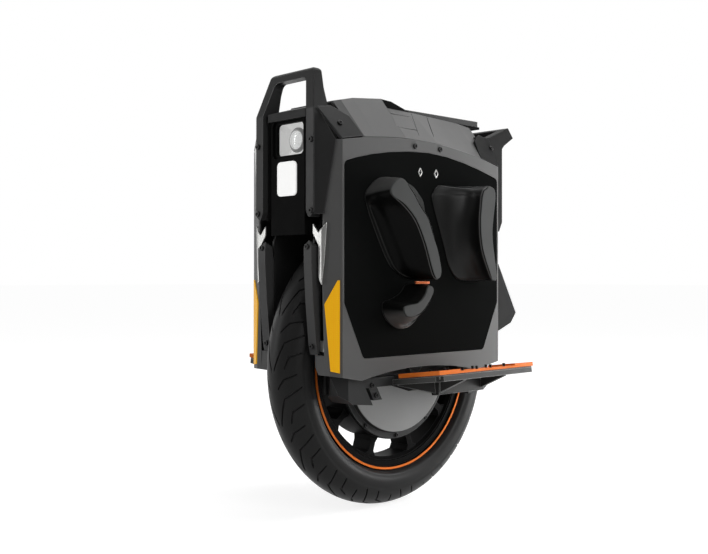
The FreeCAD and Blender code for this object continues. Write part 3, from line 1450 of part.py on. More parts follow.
def handle_front_view():
    """Front view of the handle loop: pointed legs, bent in above, joined by the top bar."""
    bottom = front_handle_bottom_z
    top = bottom + front_handle_height
    tip_y = handle_inner_y + handle_tip_share * (handle_outer_y - handle_inner_y)
    shoulder = bottom + handle_tip_height
    outer = [(tip_y, bottom), (handle_outer_y, shoulder), (handle_outer_y, handle_bend_z), (handle_top_outer_y, top)]
    inner = [(handle_top_inner_y, top - handle_top_bar), (handle_inner_y, handle_bend_z), (handle_inner_y, shoulder)]
    right = [(-y, z) for y, z in reversed(outer)]
    right_inner = [(-y, z) for y, z in reversed(inner)]
    return outer + right + right_inner + inner


def make_front_handle(cuts):
    """Front handle loop with its two shoulder plates."""
    outline = placed(front_handle_shares, front_handle_x, front_handle_bottom_z, -front_handle_depth, front_handle_height)
    side_wire = rounded_wire([V(x, -handle_outer_y, z) for x, z in outline], handle_side_round)
    rear_x = front_handle_x - front_handle_depth
    loop_wire = rounded_wire([V(rear_x, y, z) for y, z in handle_front_view()], handle_loop_round)
    loop = solid_of(side_wire, V(0, 2 * handle_outer_y, 0)).common(solid_of(loop_wire, V(front_handle_depth, 0, 0)))
    plate = shoulder_plate(front_shoulder_top, front_shoulder_low, front_shoulder_back, front_shoulder_inner)
    cheek = handle_cheek()
    return joined([loop, plate, mirrored(plate), cheek, mirrored(cheek)]).cut(cuts)


def handle_cheek():
    """Left cheek that closes the corner between a handle leg and the side shell's nose."""
    front = front_handle_x - cheek_wall
    inner = handle_outer_y - cheek_depth
    low_z = frame_top_z + cheek_low_over_frame
    tip = front_shoulder_top
    edges = [chamfer_point(cheek_low_share, low_z) + chamfer_out * cheek_wall,
             chamfer_point(cheek_high_share, band_front_z) + chamfer_out * cheek_wall,
             V(tip[0], tip[1] + rest_gap, tip[2] - cheek_tip_drop)]
    sections = [closed([V(front, inner, e.z), V(front, handle_outer_y, e.z), e, V(e.x - cheek_depth, e.y, e.z),
                        V(e.x - cheek_depth, inner, e.z)]) for e in edges]
    return Part.makeLoft(sections, True, True)


def make_rear_handle(cuts):
    """Rear handle: two legs with arms swept back, joined by the rear bar, and two shoulder plates."""
    outline = placed(rear_handle_shares, rear_handle_x, rear_handle_bottom_z, -rear_handle_length, rear_handle_height)
    side = side_prism(outline, -handle_outer_y, handle_outer_y)
    top = rear_handle_bottom_z + rear_handle_height
    leg = box(rear_handle_x - rear_handle_length, rear_handle_x, handle_inner_y, handle_outer_y,
              rear_handle_bottom_z, top)
    bar = box(rear_handle_x - rear_handle_length, rear_bar_front_x, -handle_outer_y, handle_outer_y, rear_bar_bottom_z, top)
    loop = side.common(joined([leg, mirrored(leg), bar]))
    plate = shoulder_plate(rear_shoulder_top, rear_shoulder_low, rear_shoulder_back, rear_shoulder_inner)
    return joined([loop, plate, mirrored(plate)]).cut(cuts)


def channel_plan(face_x, half_width, wall, return_x, return_half_width):
    """Plan of a panel with both sides turned back towards the side frames."""
    turn = math.copysign(wall, return_x - face_x)
    outer = [(return_x, return_half_width), (face_x, half_width), (face_x, -half_width), (return_x, -return_half_width)]
    inner = [(return_x, -return_half_width + wall), (face_x + turn, -half_width + wall / 2),
             (face_x + turn, half_width - wall / 2), (return_x, return_half_width - wall)]
    return outer + inner


def square_wire(x, z, half_width, half_height, corner):
    """Rounded rectangle facing forward."""
    corners = [V(x, -half_width, z - half_height), V(x, half_width, z - half_height),
               V(x, half_width, z + half_height), V(x, -half_width, z + half_height)]
    return rounded_wire(corners, corner)


def make_front_panel():
    """Black front panel with the headlight opening."""
    plan = channel_plan(nose_x, nose_half_width, nose_wall, nose_return_x, nose_return_half_width)
    panel = plan_prism(plan, nose_bottom_z, nose_top_z)
    opening = square_wire(nose_x - overrun, lamp_z, lamp_half_width + bowl_gap, lamp_half_height + bowl_gap, lamp_corner)
    return panel.cut(solid_of(opening, V(2 * overrun, 0, 0)))


def make_front_hood():
    """Hood over the headlight, rising to the top cover."""
    base = nose_top_z + rest_gap
    lip_top = base + hood_lip
    outline = [(hood_x, base), (hood_x, lip_top), (cover_front_x, hood_rear_z), (cover_front_x, hood_rear_z - hood_wall),
               (nose_return_x, base)]
    return side_prism(outline, -hood_half_width, hood_half_width)


def make_headlight_bezel():
    """Rounded square bezel in the front panel's opening."""
    start = nose_x + bezel_proud - bezel_depth
    width, height = lamp_half_width, lamp_half_height
    outer = solid_of(square_wire(start, lamp_z, width, height, lamp_corner), V(bezel_depth, 0, 0))
    hole = square_wire(start - overrun, lamp_z, width - bezel_wall, height - bezel_wall, lamp_corner - bezel_wall / 2)
    return outer.cut(solid_of(hole, V(2 * overrun, 0, 0)))


def bowl_front_x():
    """Front edge of the headlight bowl, behind the bezel."""
    return nose_x + bezel_proud - bezel_depth - rest_gap


def make_headlight_bowl():
    """Tapered bowl behind the bezel, closed at the back."""
    front = bowl_front_x()
    back = front - bowl_depth
    wide, high = lamp_half_width, lamp_half_height
    small_wide, small_high = bowl_back_half_width, bowl_back_half_height
    wall = bowl_wall
    outer = Part.makeLoft([square_wire(front, lamp_z, wide, high, lamp_corner),
                           square_wire(back - wall, lamp_z, small_wide + wall, small_high + wall, lamp_corner)], True, True)
    cavity = Part.makeLoft([square_wire(front, lamp_z, wide - wall, high - wall, lamp_corner - wall),
                            square_wire(back, lamp_z, small_wide, small_high, lamp_corner - wall)], True, True)
    return outer.cut(cavity)


def make_headlight_lens():
    """Domed round lens at the back of the bowl."""
    back = bowl_front_x() - bowl_depth
    face = lens_height - lens_dome
    barrel = rod(V(back, 0, lamp_z), X_AXIS, lens_radius, face)
    sphere_radius = (lens_radius ** 2 + lens_dome ** 2) / (2 * lens_dome)
    sphere = Part.makeSphere(sphere_radius, V(back + lens_height - sphere_radius, 0, lamp_z))
    dome = sphere.common(rod(V(back + face, 0, lamp_z), X_AXIS, lens_radius, lens_dome))
    return joined([barrel, dome])


def make_front_marker():
    """Plain white reflector on the front panel."""
    return solid_of(square_wire(nose_x, marker_z, marker_half_width, marker_half_height, marker_corner),
                    V(marker_wall, 0, 0))


def make_rear_panel():
    """Black rear panel between the rear handle's legs."""
    plan = channel_plan(tail_x, tail_half_width, tail_wall, tail_return_x, nose_return_half_width)
    return plan_prism(plan, tail_bottom_z, tail_top_z)


def make_tail_light():
    """Tail light bar on the rear panel."""
    wire = square_wire(tail_x, tail_lamp_bottom_z + tail_lamp_height / 2, tail_lamp_half_width, tail_lamp_height / 2,
                       tail_lamp_corner)
    return solid_of(wire, V(-tail_lamp_wall, 0, 0))


def make_rear_mudguard():
    """Rear mudguard: bent plate behind the tyre with a cheek on each side."""
    outline = placed(mudguard_shares, mudguard_x, mudguard_bottom_z, -mudguard_length, mudguard_height)
    half = mudguard_half_width
    whole = side_prism(outline, -half, half)
    reach = mudguard_wall
    inside = [(x + reach, z - reach) for x, z in outline[:mudguard_plate_count - 1]]
    tip_x, tip_z = outline[mudguard_plate_count - 1]
    low = mudguard_bottom_z - overrun
    inside += [(tip_x, tip_z - rest_gap), (tip_x, low), (mudguard_x + overrun, low), (mudguard_x + overrun, inside[0][1])]
    hollow = side_prism(inside, -half + mudguard_wall, half - mudguard_wall)
    tab_top = mudguard_bottom_z + mudguard_shares[0][1] * mudguard_height
    tab = box(mudguard_x - mudguard_wall, frame_rear_x, half - mudguard_wall, half, tab_top - mudguard_tab_height, tab_top)
    return joined([whole.cut(hollow), tab, mirrored(tab)])


def pad_wire(shares, y, x_from, z_from, length, height, draw_share):
    """Rounded pad outline on a Y plane, drawn in towards its middle by a share."""
    outline = placed(shares, x_from, z_from, length, height)
    mid_x = sum(x for x, z in outline) / len(outline)
    mid_z = sum(z for x, z in outline) / len(outline)
    return closed([V(x + draw_share * (mid_x - x), y, z + draw_share * (mid_z - z)) for x, z in outline])


def blend_shares(base, face, share):
    """Outline between two outlines of as many points."""
    return [(a + share * (c - a), b + share * (d - b)) for (a, b), (c, d) in zip(base, face)]


def make_pad(base, face, waist_share, x_from, z_from, length, height):
    """Leg pad on the left panel: wide base, drawn-in flanks and a crowned outer face."""
    start = panel_face_y + pad_gap
    waist_depth_share = 0.4
    crown_depth_share = 0.88
    sections = [(base, 0, 0), (blend_shares(base, face, waist_share), waist_depth_share, 0),
                (face, crown_depth_share, 0), (face, 1, pad_crown_share)]
    wires = [pad_wire(s, start + depth * pad_depth, x_from, z_from, length, height, draw) for s, depth, draw in sections]
    return Part.makeLoft(wires, True, True)


def make_pad_links():
    """Orange link between the front and lower pad of each side."""
    low = lower_pad_z + lower_pad_height + pad_gap
    top = front_pad_z - pad_gap
    inner = panel_face_y + link_inner_share * pad_depth
    return pair(box(link_front_x - link_length, link_front_x, inner, inner + link_width, low, top))


def make_insert():
    """Left threaded inserts: diamond heads on the panel with bored bodies."""
    shapes = []
    for x in insert_x:
        head = side_prism([(x + insert_half_width, insert_z), (x, insert_z + insert_half_height),
                           (x - insert_half_width, insert_z), (x, insert_z - insert_half_height)],
                          panel_face_y, panel_face_y + insert_proud)
        body = rod(V(x, panel_face_y - insert_length, insert_z), Y_AXIS, insert_body_radius, insert_length)
        bore = rod(V(x, panel_face_y - insert_length, insert_z), Y_AXIS, insert_bore_radius, insert_length + insert_proud)
        shapes.append(joined([head, body]).cut(bore))
    return shapes


def make_pad_inserts():
    """Threaded inserts on both side panels."""
    left = make_insert()
    return Part.makeCompound(left + [mirrored(s) for s in left])


def guard_face_x(z):
    """Front of the fork guard at a height."""
    outline = placed(guard_shares[:guard_face_count], guard_front_x, guard_bottom_z, -guard_depth, guard_height)
    for (x_a, z_a), (x_b, z_b) in zip(outline, outline[1:]):
        if z_a <= z <= z_b:
            return x_a + (x_b - x_a) * (z - z_a) / (z_b - z_a)
    return guard_front_x


def make_body_screws():
    """Screw heads on the side shells, the handle legs and the fork guards."""
    heads = []
    for x in band_screw_x:
        heads.append(rod(V(x, shell_y, band_crown_z - band_screw_drop), Y_AXIS, screw_radius, screw_height))
    for z in handle_screw_z:
        heads.append(rod(V(front_handle_x, handle_screw_y, z), X_AXIS, screw_radius, screw_height))
    for z in guard_screw_z:
        heads.append(rod(V(guard_face_x(z + screw_radius), guard_screw_y, z), X_AXIS, screw_radius, screw_height))
    return Part.makeCompound(heads + [mirrored(h) for h in heads])


# Build the pieces
pieces = {}
pieces["tyre"] = make_tyre()
pieces["rim"] = make_rim()
pieces["rim_stripes"] = make_rim_stripes()
pieces["tyre_valve"] = make_valve()
pieces["motor_cover_left"] = make_motor_cover()
pieces["motor_cover_right"] = mirrored(pieces["motor_cover_left"])
pieces["motor_cover_screws"] = make_cover_screws()
pieces["wheel_bearings"] = make_bearings()
pieces["magnet_ring"] = make_magnet_ring()
pieces["stator"] = make_stator()
pieces["motor_windings"] = make_windings()
pieces["axle"] = Part.makeCompound([make_axle(), make_axle_nuts()])
pieces["axle_carriers"] = make_axle_carriers()
pieces["slide_bushes"] = make_slide_bushes()
pieces["shock_rods"] = make_shock_rods()
pieces["shock_bodies"] = make_shock_bodies()
pieces["fork_rails"] = make_fork_rails()
pieces["side_frames"] = make_side_frames()
pieces["battery_packs"] = make_battery_packs()
pieces["wheel_arch"] = make_wheel_arch()
pieces["controller"] = make_controller()
pieces["fork_feet"] = make_fork_feet()
pieces["pedal_hangers"] = make_pedal_hangers()
pieces["pedal_pins"] = make_pedal_pins()
pieces["pedal_left"] = make_pedal()
pieces["pedal_right"] = mirrored(pieces["pedal_left"])
pieces["pedal_grip_left"] = make_pedal_grip()
pieces["pedal_grip_right"] = mirrored(pieces["pedal_grip_left"])
pieces["pedal_studs_left"] = make_pedal_studs()
pieces["pedal_studs_right"] = mirrored(pieces["pedal_studs_left"])
pieces["side_shell_left"] = make_side_shell()
pieces["side_shell_right"] = mirrored(pieces["side_shell_left"])
pieces["side_panel_left"] = make_side_panel()
pieces["side_panel_right"] = mirrored(pieces["side_panel_left"])
shells = [pieces["side_shell_left"], pieces["side_shell_right"]]
pieces["front_handle"] = make_front_handle(shells)
pieces["rear_handle"] = make_rear_handle(shells)
pieces["top_deck"] = make_top_deck()
handles = [pieces["front_handle"], pieces["rear_handle"]]
pieces["top_cover"] = make_top_cover(handles)
pieces["power_button"] = make_power_button()
pieces["trolley_handle"] = make_trolley_handle()
pieces["charge_port"] = make_charge_port()
pieces["charge_flap"] = make_charge_flap()
pieces["front_panel"] = make_front_panel()
pieces["front_hood"] = make_front_hood()
pieces["headlight_bezel"] = make_headlight_bezel()
pieces["headlight_bowl"] = make_headlight_bowl()
pieces["headlight_lens"] = make_headlight_lens()
pieces["front_marker"] = make_front_marker()
pieces["corner_reflectors"] = make_corner_reflectors()
pieces["corner_brackets"] = make_corner_brackets()
pieces["fork_guards"] = make_fork_guards()
pieces["rear_panel"] = make_rear_panel()
pieces["tail_light"] = make_tail_light()
pieces["rear_mudguard"] = make_rear_mudguard()
front_pad = make_pad(front_pad_base_shares, front_pad_face_shares, front_pad_waist_share, front_pad_x, front_pad_z,
                     front_pad_length, front_pad_height)
lower_pad = make_pad(lower_pad_base_shares, lower_pad_face_shares, lower_pad_waist_share, lower_pad_x, lower_pad_z,
                     lower_pad_length, lower_pad_height)
rear_pad = make_pad(rear_pad_base_shares, rear_pad_face_shares, rear_pad_waist_share, rear_pad_x, rear_pad_z,
                    rear_pad_length, rear_pad_height)
pieces["front_pads"] = pair(front_pad)
pieces["lower_pads"] = pair(lower_pad)
pieces["rear_pads"] = pair(rear_pad)
pieces["pad_links"] = make_pad_links()
pieces["pad_inserts"] = make_pad_inserts()
pieces["body_screws"] = Part.makeCompound([make_body_screws(), make_hanger_bolts()])

os.makedirs("parts", exist_ok=True)
for name, shape in pieces.items():
    shape.exportStep("parts/" + name + ".step")
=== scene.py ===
"""Looks of a sprung electric unicycle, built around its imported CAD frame."""

import logging
import math
from dataclasses import dataclass
from enum import Enum
from typing import Dict, List, Mapping, Optional, Sequence, Tuple, Union

import bpy
from bpy.types import Material, Node, NodeSocket, NodeTree, Object, Scene
from mathutils import Matrix, Vector
from mathutils.geometry import tessellate_polygon


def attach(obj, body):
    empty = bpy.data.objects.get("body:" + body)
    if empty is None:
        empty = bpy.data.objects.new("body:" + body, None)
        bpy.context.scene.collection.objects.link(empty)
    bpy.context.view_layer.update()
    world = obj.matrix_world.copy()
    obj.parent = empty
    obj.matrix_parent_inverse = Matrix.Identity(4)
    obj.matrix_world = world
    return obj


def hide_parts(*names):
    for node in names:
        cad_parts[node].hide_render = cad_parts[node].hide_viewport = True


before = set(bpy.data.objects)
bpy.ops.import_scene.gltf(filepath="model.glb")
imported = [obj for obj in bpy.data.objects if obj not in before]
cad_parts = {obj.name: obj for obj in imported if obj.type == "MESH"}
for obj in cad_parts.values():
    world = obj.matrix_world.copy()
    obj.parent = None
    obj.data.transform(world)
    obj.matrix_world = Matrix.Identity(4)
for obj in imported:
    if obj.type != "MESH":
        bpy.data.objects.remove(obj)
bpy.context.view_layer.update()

log = logging.getLogger("unicycle")
Colour = Tuple[float, float, float]
Point = Tuple[float, float, float]
Flat = Tuple[float, float]
Outline = Tuple[Flat, ...]
Place = Tuple[Point, Point]
Feed = Union[NodeSocket, float, Sequence[float]]
Inputs = Mapping[Union[str, int], Feed]
MM = 0.001
SMOOTH_DEG = 35.0


class Body(Enum):
    """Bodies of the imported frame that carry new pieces."""

    CHASSIS = "chassis"
    WHEEL = "wheel"
    PEDAL_LEFT = "pedal_left_body"
    PEDAL_RIGHT = "pedal_right_body"


class Side(Enum):
    """Left and right of the rider, as the sign of Y."""

    LEFT = 1
    RIGHT = -1


class Sketch:
    """Collects vertices and faces in millimetres and turns them into one mesh object."""

    def __init__(self) -> None:
        """Start with nothing drawn."""
        self.points: List[Vector] = []
        self.faces: List[Tuple[int, ...]] = []
        self.coats: List[int] = []

    def loft(self, rings: Sequence[Sequence[Point]], caps: Tuple[bool, bool] = (True, True), closed: bool = False,
             coats: Optional[Sequence[int]] = None) -> None:
        """Skin a row of rings that have as many points each.

        Args:
            rings: Rings of points, each a closed loop.
            caps: Whether the first and the last ring are filled.
            closed: Whether the last ring joins the first.
            coats: Which of the piece's finishes follows each ring, if it has several.
        """
        start = len(self.points)
        coats = coats or [0] * len(rings)
        count = len(rings[0])
        for ring in rings:
            self.points.extend(Vector(p) for p in ring)
        steps = len(rings) if closed else len(rings) - 1
        for i in range(steps):
            here = start + i * count
            there = start + ((i + 1) % len(rings)) * count
            for j in range(count):
                k = (j + 1) % count
                self.faces.append((here + j, here + k, there + k, there + j))
                self.coats.append(coats[i])
        for wanted, ring in zip(caps, (0, len(rings) - 1)):
            if wanted and not closed:
                first = start + ring * count
                for corner in tessellate_polygon([self.points[first:first + count]]):
                    self.faces.append(tuple(first + k for k in corner))
                    self.coats.append(coats[ring])

    def move(self, first: int, matrix: Matrix) -> None:
        """Move all points from the first one named to the last one drawn."""
        for i in range(first, len(self.points)):
            self.points[i] = matrix @ self.points[i]

    def build(self, name: str, smooth_deg: float = SMOOTH_DEG) -> Object:
        """Make the mesh object, in metres.

        Args:
            name: Name of the piece.
            smooth_deg: Edges flatter than this are shaded smooth.

        Returns:
            The new object, linked to the scene.
        """
        mesh = bpy.data.meshes.new(name)
        mesh.from_pydata([p * MM for p in self.points], [], self.faces)
        mesh.polygons.foreach_set("material_index", self.coats)
        mesh.update()
        piece = bpy.data.objects.new(name, mesh)
        bpy.context.scene.collection.objects.link(piece)
        bpy.context.view_layer.objects.active = piece
        piece.select_set(True)
        bpy.ops.object.mode_set(mode="EDIT")
        bpy.ops.mesh.select_all(action="SELECT")
        bpy.ops.mesh.normals_make_consistent(inside=False)
        bpy.ops.object.mode_set(mode="OBJECT")
        bpy.ops.object.shade_smooth_by_angle(angle=math.radians(smooth_deg))
        piece.select_set(False)
        return piece


def smooth_loop(points: Sequence[Flat], per_side: int, tension: float = 0.5) -> List[Flat]:
    """Round a closed outline with a spline through its points.

    Args:
        points: Corners of the outline.
        per_side: Points made between two corners.
        tension: How far the spline swings at each corner.

    Returns:
        The rounded outline.
    """
    count = len(points)
    out: List[Flat] = []
    for i in range(count):
        p0, p1, p2, p3 = (Vector(points[(i + k) % count]) for k in (-1, 0, 1, 2))
        m1, m2 = (p2 - p0) * tension, (p3 - p1) * tension
        for step in range(per_side):
            t = step / per_side
            a = 2 * t ** 3 - 3 * t ** 2 + 1
            b = t ** 3 - 2 * t ** 2 + t
            c = -2 * t ** 3 + 3 * t ** 2
            d = t ** 3 - t ** 2
            spot = p1 * a + m1 * b + p2 * c + m2 * d
            out.append((spot.x, spot.y))
    return out


def turns(count: int) -> List[float]:
    """Angles that share out a full turn."""
    return [2 * math.pi * i / count for i in range(count)]


def circle(radius: float, z: float, count: int) -> List[Point]:
    """Level ring of points round the Z axis."""
    return [(radius * math.cos(turn), radius * math.sin(turn), z) for turn in turns(count)]


class Wiring:
    """Adds nodes to a shader tree. An input takes a socket or a plain value."""

    MIX_FACTOR, MIX_FIRST, MIX_SECOND, MIX_RESULT = 0, 6, 7, 2

    def __init__(self, tree: NodeTree) -> None:
        """Work on a tree."""
        self.tree = tree

    def fill(self, node: Node, inputs: Inputs) -> None:
        """Join or set a node's inputs, given by their names or places."""
        for label, value in inputs.items():
            if isinstance(value, NodeSocket):
                self.tree.links.new(value, node.inputs[label])
            else:
                node.inputs[label].default_value = value

    def node(self, kind: str, inputs: Optional[Inputs] = None, **settings: object) -> Node:
        """Add a node.

        Args:
            kind: Type of the node.
            inputs: Socket or value for each input, by its name or place.
            settings: The node's own settings.

        Returns:
            The node.
        """
        node = self.tree.nodes.new(kind)
        for label, value in settings.items():
            setattr(node, label, value)
        self.fill(node, inputs or {})
        return node

    def math(self, kind: str, first: Feed, second: Feed, clamp: bool = False) -> NodeSocket:
        """Result of a sum on two values, kept between 0 and 1 if asked."""
        return self.node("ShaderNodeMath", {0: first, 1: second}, operation=kind, use_clamp=clamp).outputs[0]

    def vector(self, kind: str, inputs: Inputs, output: str = "Vector") -> NodeSocket:
        """Result of a vector sum."""
        return self.node("ShaderNodeVectorMath", inputs, operation=kind).outputs[output]

    def scaled(self, colour: Feed, factor: Feed) -> NodeSocket:
        """Colour multiplied by a value."""
        return self.vector("SCALE", {0: colour, "Scale": factor})

    def mixed(self, factor: Feed, first: Feed, second: Feed) -> NodeSocket:
        """First colour that turns into the second as the factor grows from 0 to 1."""
        inputs = {self.MIX_FACTOR: factor, self.MIX_FIRST: first, self.MIX_SECOND: second}
        return self.node("ShaderNodeMix", inputs, data_type="RGBA").outputs[self.MIX_RESULT]

    def fade(self, value: Feed, span: Flat, ends: Flat = (0.0, 1.0), curve: str = "SMOOTHSTEP") -> NodeSocket:
        """Value that goes from one end to the other over a span.

        Args:
            value: What the fade follows.
            span: Where it starts and where it is complete.
            ends: Values before and after it.
            curve: Kind of interpolation.

        Returns:
            The result socket.
        """
        inputs = {"Value": value, "From Min": span[0], "From Max": span[1], "To Min": ends[0], "To Max": ends[1]}
        return self.node("ShaderNodeMapRange", inputs, interpolation_type=curve).outputs["Result"]

    def place(self) -> NodeSocket:
        """Place in the piece's own coordinates."""
        return self.node("ShaderNodeTexCoord").outputs["Object"]

    def noise(self, scale: Feed, detail: float) -> NodeSocket:
        """Noise fixed to the piece, with its fineness per metre and its octaves."""
        inputs = {"Vector": self.place(), "Scale": scale, "Detail": detail}
        return self.node("ShaderNodeTexNoise", inputs).outputs["Fac"]

    def group(self, tree: NodeTree, inputs: Inputs) -> Mapping[str, NodeSocket]:
        """Outputs of a shared group with these inputs."""
        return self.node("ShaderNodeGroup", inputs, node_tree=tree).outputs

    def relief(self, strength: float, inputs: Inputs) -> NodeSocket:
        """Normal of a relief."""
        return self.node("ShaderNodeBump", {"Strength": strength, **inputs}).outputs["Normal"]


class SharedGroup(Wiring):
    """Shader node group that several finishes share."""

    GREY = (0.5, 0.5, 0.5, 1)
    KINDS = {"Colour": "NodeSocketColor", "Normal": "NodeSocketVector"}

    def __init__(self, name: str, inputs: Mapping[str, Feed], outputs: Sequence[str]) -> None:
        """Make an empty group with its sockets.

        Args:
            name: Name of the group.
            inputs: Name and default value of each input.
            outputs: Name of each output.
        """
        super().__init__(bpy.data.node_groups.new(name, "ShaderNodeTree"))
        for label, value in inputs.items():
            kind = "NodeSocketFloat" if isinstance(value, float) else "NodeSocketColor"
            socket = self.tree.interface.new_socket(name=label, in_out="INPUT", socket_type=kind)
            socket.default_value = value
        for label in outputs:
            kind = self.KINDS.get(label, "NodeSocketFloat")
            self.tree.interface.new_socket(name=label, in_out="OUTPUT", socket_type=kind)
        self.given = self.node("NodeGroupInput").outputs
        self.sink = self.node("NodeGroupOutput")

    def hand_out(self, outputs: Inputs) -> NodeTree:
        """Join the group's outputs and return its tree."""
        self.fill(self.sink, outputs)
        return self.tree


def surface_grain() -> NodeTree:
    """Moulded or painted surface: mottled colour, uneven gloss and fine relief."""
    mottle_scale, gloss_scale, middle = 14.0, 45.0, 0.5
    group = SharedGroup("surface_grain", {"Colour": SharedGroup.GREY, "Mottle": 0.1, "Roughness": 0.5, "Spread": 0.1,
                                          "Scale": 900.0}, ("Colour", "Roughness", "Height"))
    given = group.given
    lean = group.math("SUBTRACT", group.noise(mottle_scale, detail=4.0), middle)
    factor = group.math("ADD", group.math("MULTIPLY", lean, given["Mottle"]), 1.0)
    uneven = group.math("SUBTRACT", group.noise(gloss_scale, detail=3.0), middle)
    spread = group.math("MULTIPLY", uneven, given["Spread"])
    return group.hand_out({"Colour": group.scaled(given["Colour"], factor),
                           "Roughness": group.math("ADD", spread, given["Roughness"], True),
                           "Height": group.noise(given["Scale"], detail=2.0)})


def edge_wear_and_highlight() -> NodeTree:
    """Rounded edges painted paler: partly rubbed wear, partly a painted highlight where they would catch light."""
    gain, wear_scale, wear_spread, least_wear = 9.0, 60.0, 0.8, 0.55
    group = SharedGroup("edge_wear_and_highlight", {"Colour": SharedGroup.GREY, "Edge Colour": SharedGroup.GREY, "Radius": 0.001,
                                        "Amount": 0.5}, ("Colour", "Normal"))
    given = group.given
    rounded = group.node("ShaderNodeBevel", {"Radius": given["Radius"]}, samples=6).outputs["Normal"]
    plain = group.node("ShaderNodeNewGeometry").outputs["Normal"]
    alike = group.vector("DOT_PRODUCT", {0: rounded, 1: plain}, "Value")
    bend = group.math("MULTIPLY", group.math("SUBTRACT", 1.0, alike), gain, True)
    broken = group.math("ADD", group.math("MULTIPLY", group.noise(wear_scale, detail=4.0), wear_spread), least_wear)
    # mask of the paler edges: painted highlight, broken up by wear
    mask = group.math("MULTIPLY", group.math("MULTIPLY", bend, broken, True), given["Amount"], True)
    return group.hand_out({"Colour": group.mixed(mask, given["Colour"], given["Edge Colour"]), "Normal": rounded})


def painted_light_by_facing() -> NodeTree:
    """Painted light and shade: colour that turns into two others where the surface faces up and down."""
    spans = {"Top": (0.0, 0.4), "Under": (-0.1, -0.7)}
    group = SharedGroup("painted_light_by_facing", dict.fromkeys(("Colour", *spans), SharedGroup.GREY), ("Colour",))
    normal = group.node("ShaderNodeNewGeometry").outputs["Normal"]
    upward = group.node("ShaderNodeSeparateXYZ", {0: normal}).outputs["Z"]
    colour = group.given["Colour"]
    for label, span in spans.items():
        # faces that look up or down take the painted light or shade colour
        colour = group.mixed(group.fade(upward, span), colour, group.given[label])
    return group.hand_out({"Colour": colour})


def reflector_cells() -> NodeTree:
    """Small prisms of a reflector, as colour and relief."""
    group = SharedGroup("reflector_cells", {"Colour": SharedGroup.GREY, "Scale": 350.0, "Contrast": 0.4},
                        ("Colour", "Height"))
    given = group.given
    inputs = {"Vector": group.place(), "Scale": given["Scale"], "Randomness": 0.0}
    away = group.node("ShaderNodeTexVoronoi", inputs).outputs["Distance"]
    shade = group.math("SUBTRACT", 1.0, group.math("MULTIPLY", away, given["Contrast"]))
    return group.hand_out({"Colour": group.scaled(given["Colour"], shade), "Height": away})


class Palette:
    """Holds the shared groups and the materials made so far."""

    def __init__(self) -> None:
        """Build the shared groups once."""
        self.grain = surface_grain()
        self.edge = edge_wear_and_highlight()
        self.cells = reflector_cells()
        # group that paints light and shade on faces by where they look
        self.facing = painted_light_by_facing()
        self.made: Dict[str, Material] = {}


def rgba(colour: Colour) -> Tuple[float, ...]:
    """Opaque colour for a socket."""
    return (*colour, 1.0)


def grey(value: float) -> Colour:
    """Neutral colour."""
    return (value, value, value)


@dataclass(frozen=True)
class Finish:
    """A surface finish: colour, gloss, grain, and paler edges that are rubbed wear and painted highlights."""

    name: str
    colour: Colour
    roughness: float
    metallic: float = 0.0
    mottle: float = 0.18
    spread: float = 0.16
    scale: float = 1400.0
    relief: float = 0.00004
    relief_strength: float = 0.6
    # edge colour, amount, radius, gain and lift make rounded edges paler: rubbed wear and painted highlights
    edge_colour: Optional[Colour] = None
    edge_amount: float = 0.5
    edge_radius: float = 0.0012
    edge_gain: float = 1.8
    edge_lift: float = 0.02
    specular: float = 0.5
    # glow: emission of the finish's own colour, painted light on parts that are no lamps
    glow: float = 0.0
    # colours painted on faces that look up and down: painted light and shade
    top_colour: Optional[Colour] = None
    under_colour: Optional[Colour] = None

    def material(self, palette: Palette) -> Material:
        """Make the material, or hand back the one made before.

        Args:
            palette: Shared groups and materials.

        Returns:
            The material.
        """
        if self.name not in palette.made:
            made = bpy.data.materials.new(self.name)
            made.use_nodes = True
            wiring = Wiring(made.node_tree)
            shader = made.node_tree.nodes["Principled BSDF"]
            wiring.fill(shader, {"Metallic": self.metallic, "Specular IOR Level": self.specular,
                                 "Emission Color": rgba(self.colour), "Emission Strength": self.glow})
            wiring.fill(shader, self._surface(palette, wiring))
            palette.made[self.name] = made
        return palette.made[self.name]

    def _grain(self, palette: Palette, wiring: Wiring) -> Mapping[str, NodeSocket]:
        """Outputs of the shared grain with this finish's values."""
        return wiring.group(palette.grain, {"Colour": rgba(self.colour), "Mottle": self.mottle, "Spread": self.spread,
                                            "Roughness": self.roughness, "Scale": self.scale})

    def _surface(self, palette: Palette, wiring: Wiring) -> Inputs:
        """Place the shared groups.

        Args:
            palette: Shared groups.
            wiring: The material's nodes.

        Returns:
            What the shader's inputs get.
        """
        grain = self._grain(palette, wiring)
        # paler colour of rounded edges: wear and painted highlight
        pale = self.edge_colour or tuple(min(1.0, c * self.edge_gain + self.edge_lift) for c in self.colour)
        colour = self._tint(palette, wiring, grain["Colour"])
        edge = wiring.group(palette.edge, {"Colour": colour, "Edge Colour": rgba(pale), "Radius": self.edge_radius,
                                           "Amount": self.edge_amount})
        normal = wiring.relief(self.relief_strength, {"Distance": self.relief, "Height": grain["Height"],
                                                      "Normal": edge["Normal"]})
        return {"Base Color": edge["Colour"], "Roughness": grain["Roughness"], "Normal": normal}

    def _tint(self, palette: Palette, wiring: Wiring, colour: NodeSocket) -> NodeSocket:
        """Change the colour over the piece, here painted light and shade on faces that look up or down.

        Args:
            palette: Shared groups.
            wiring: The material's nodes.
            colour: Colour with its grain.

        Returns:
            The colour to use.
        """
        if not (self.top_colour or self.under_colour):
            return colour
        return wiring.group(palette.facing, {"Colour": colour, "Top": rgba(self.top_colour or self.colour),
                                             "Under": rgba(self.under_colour or self.colour)})["Colour"]


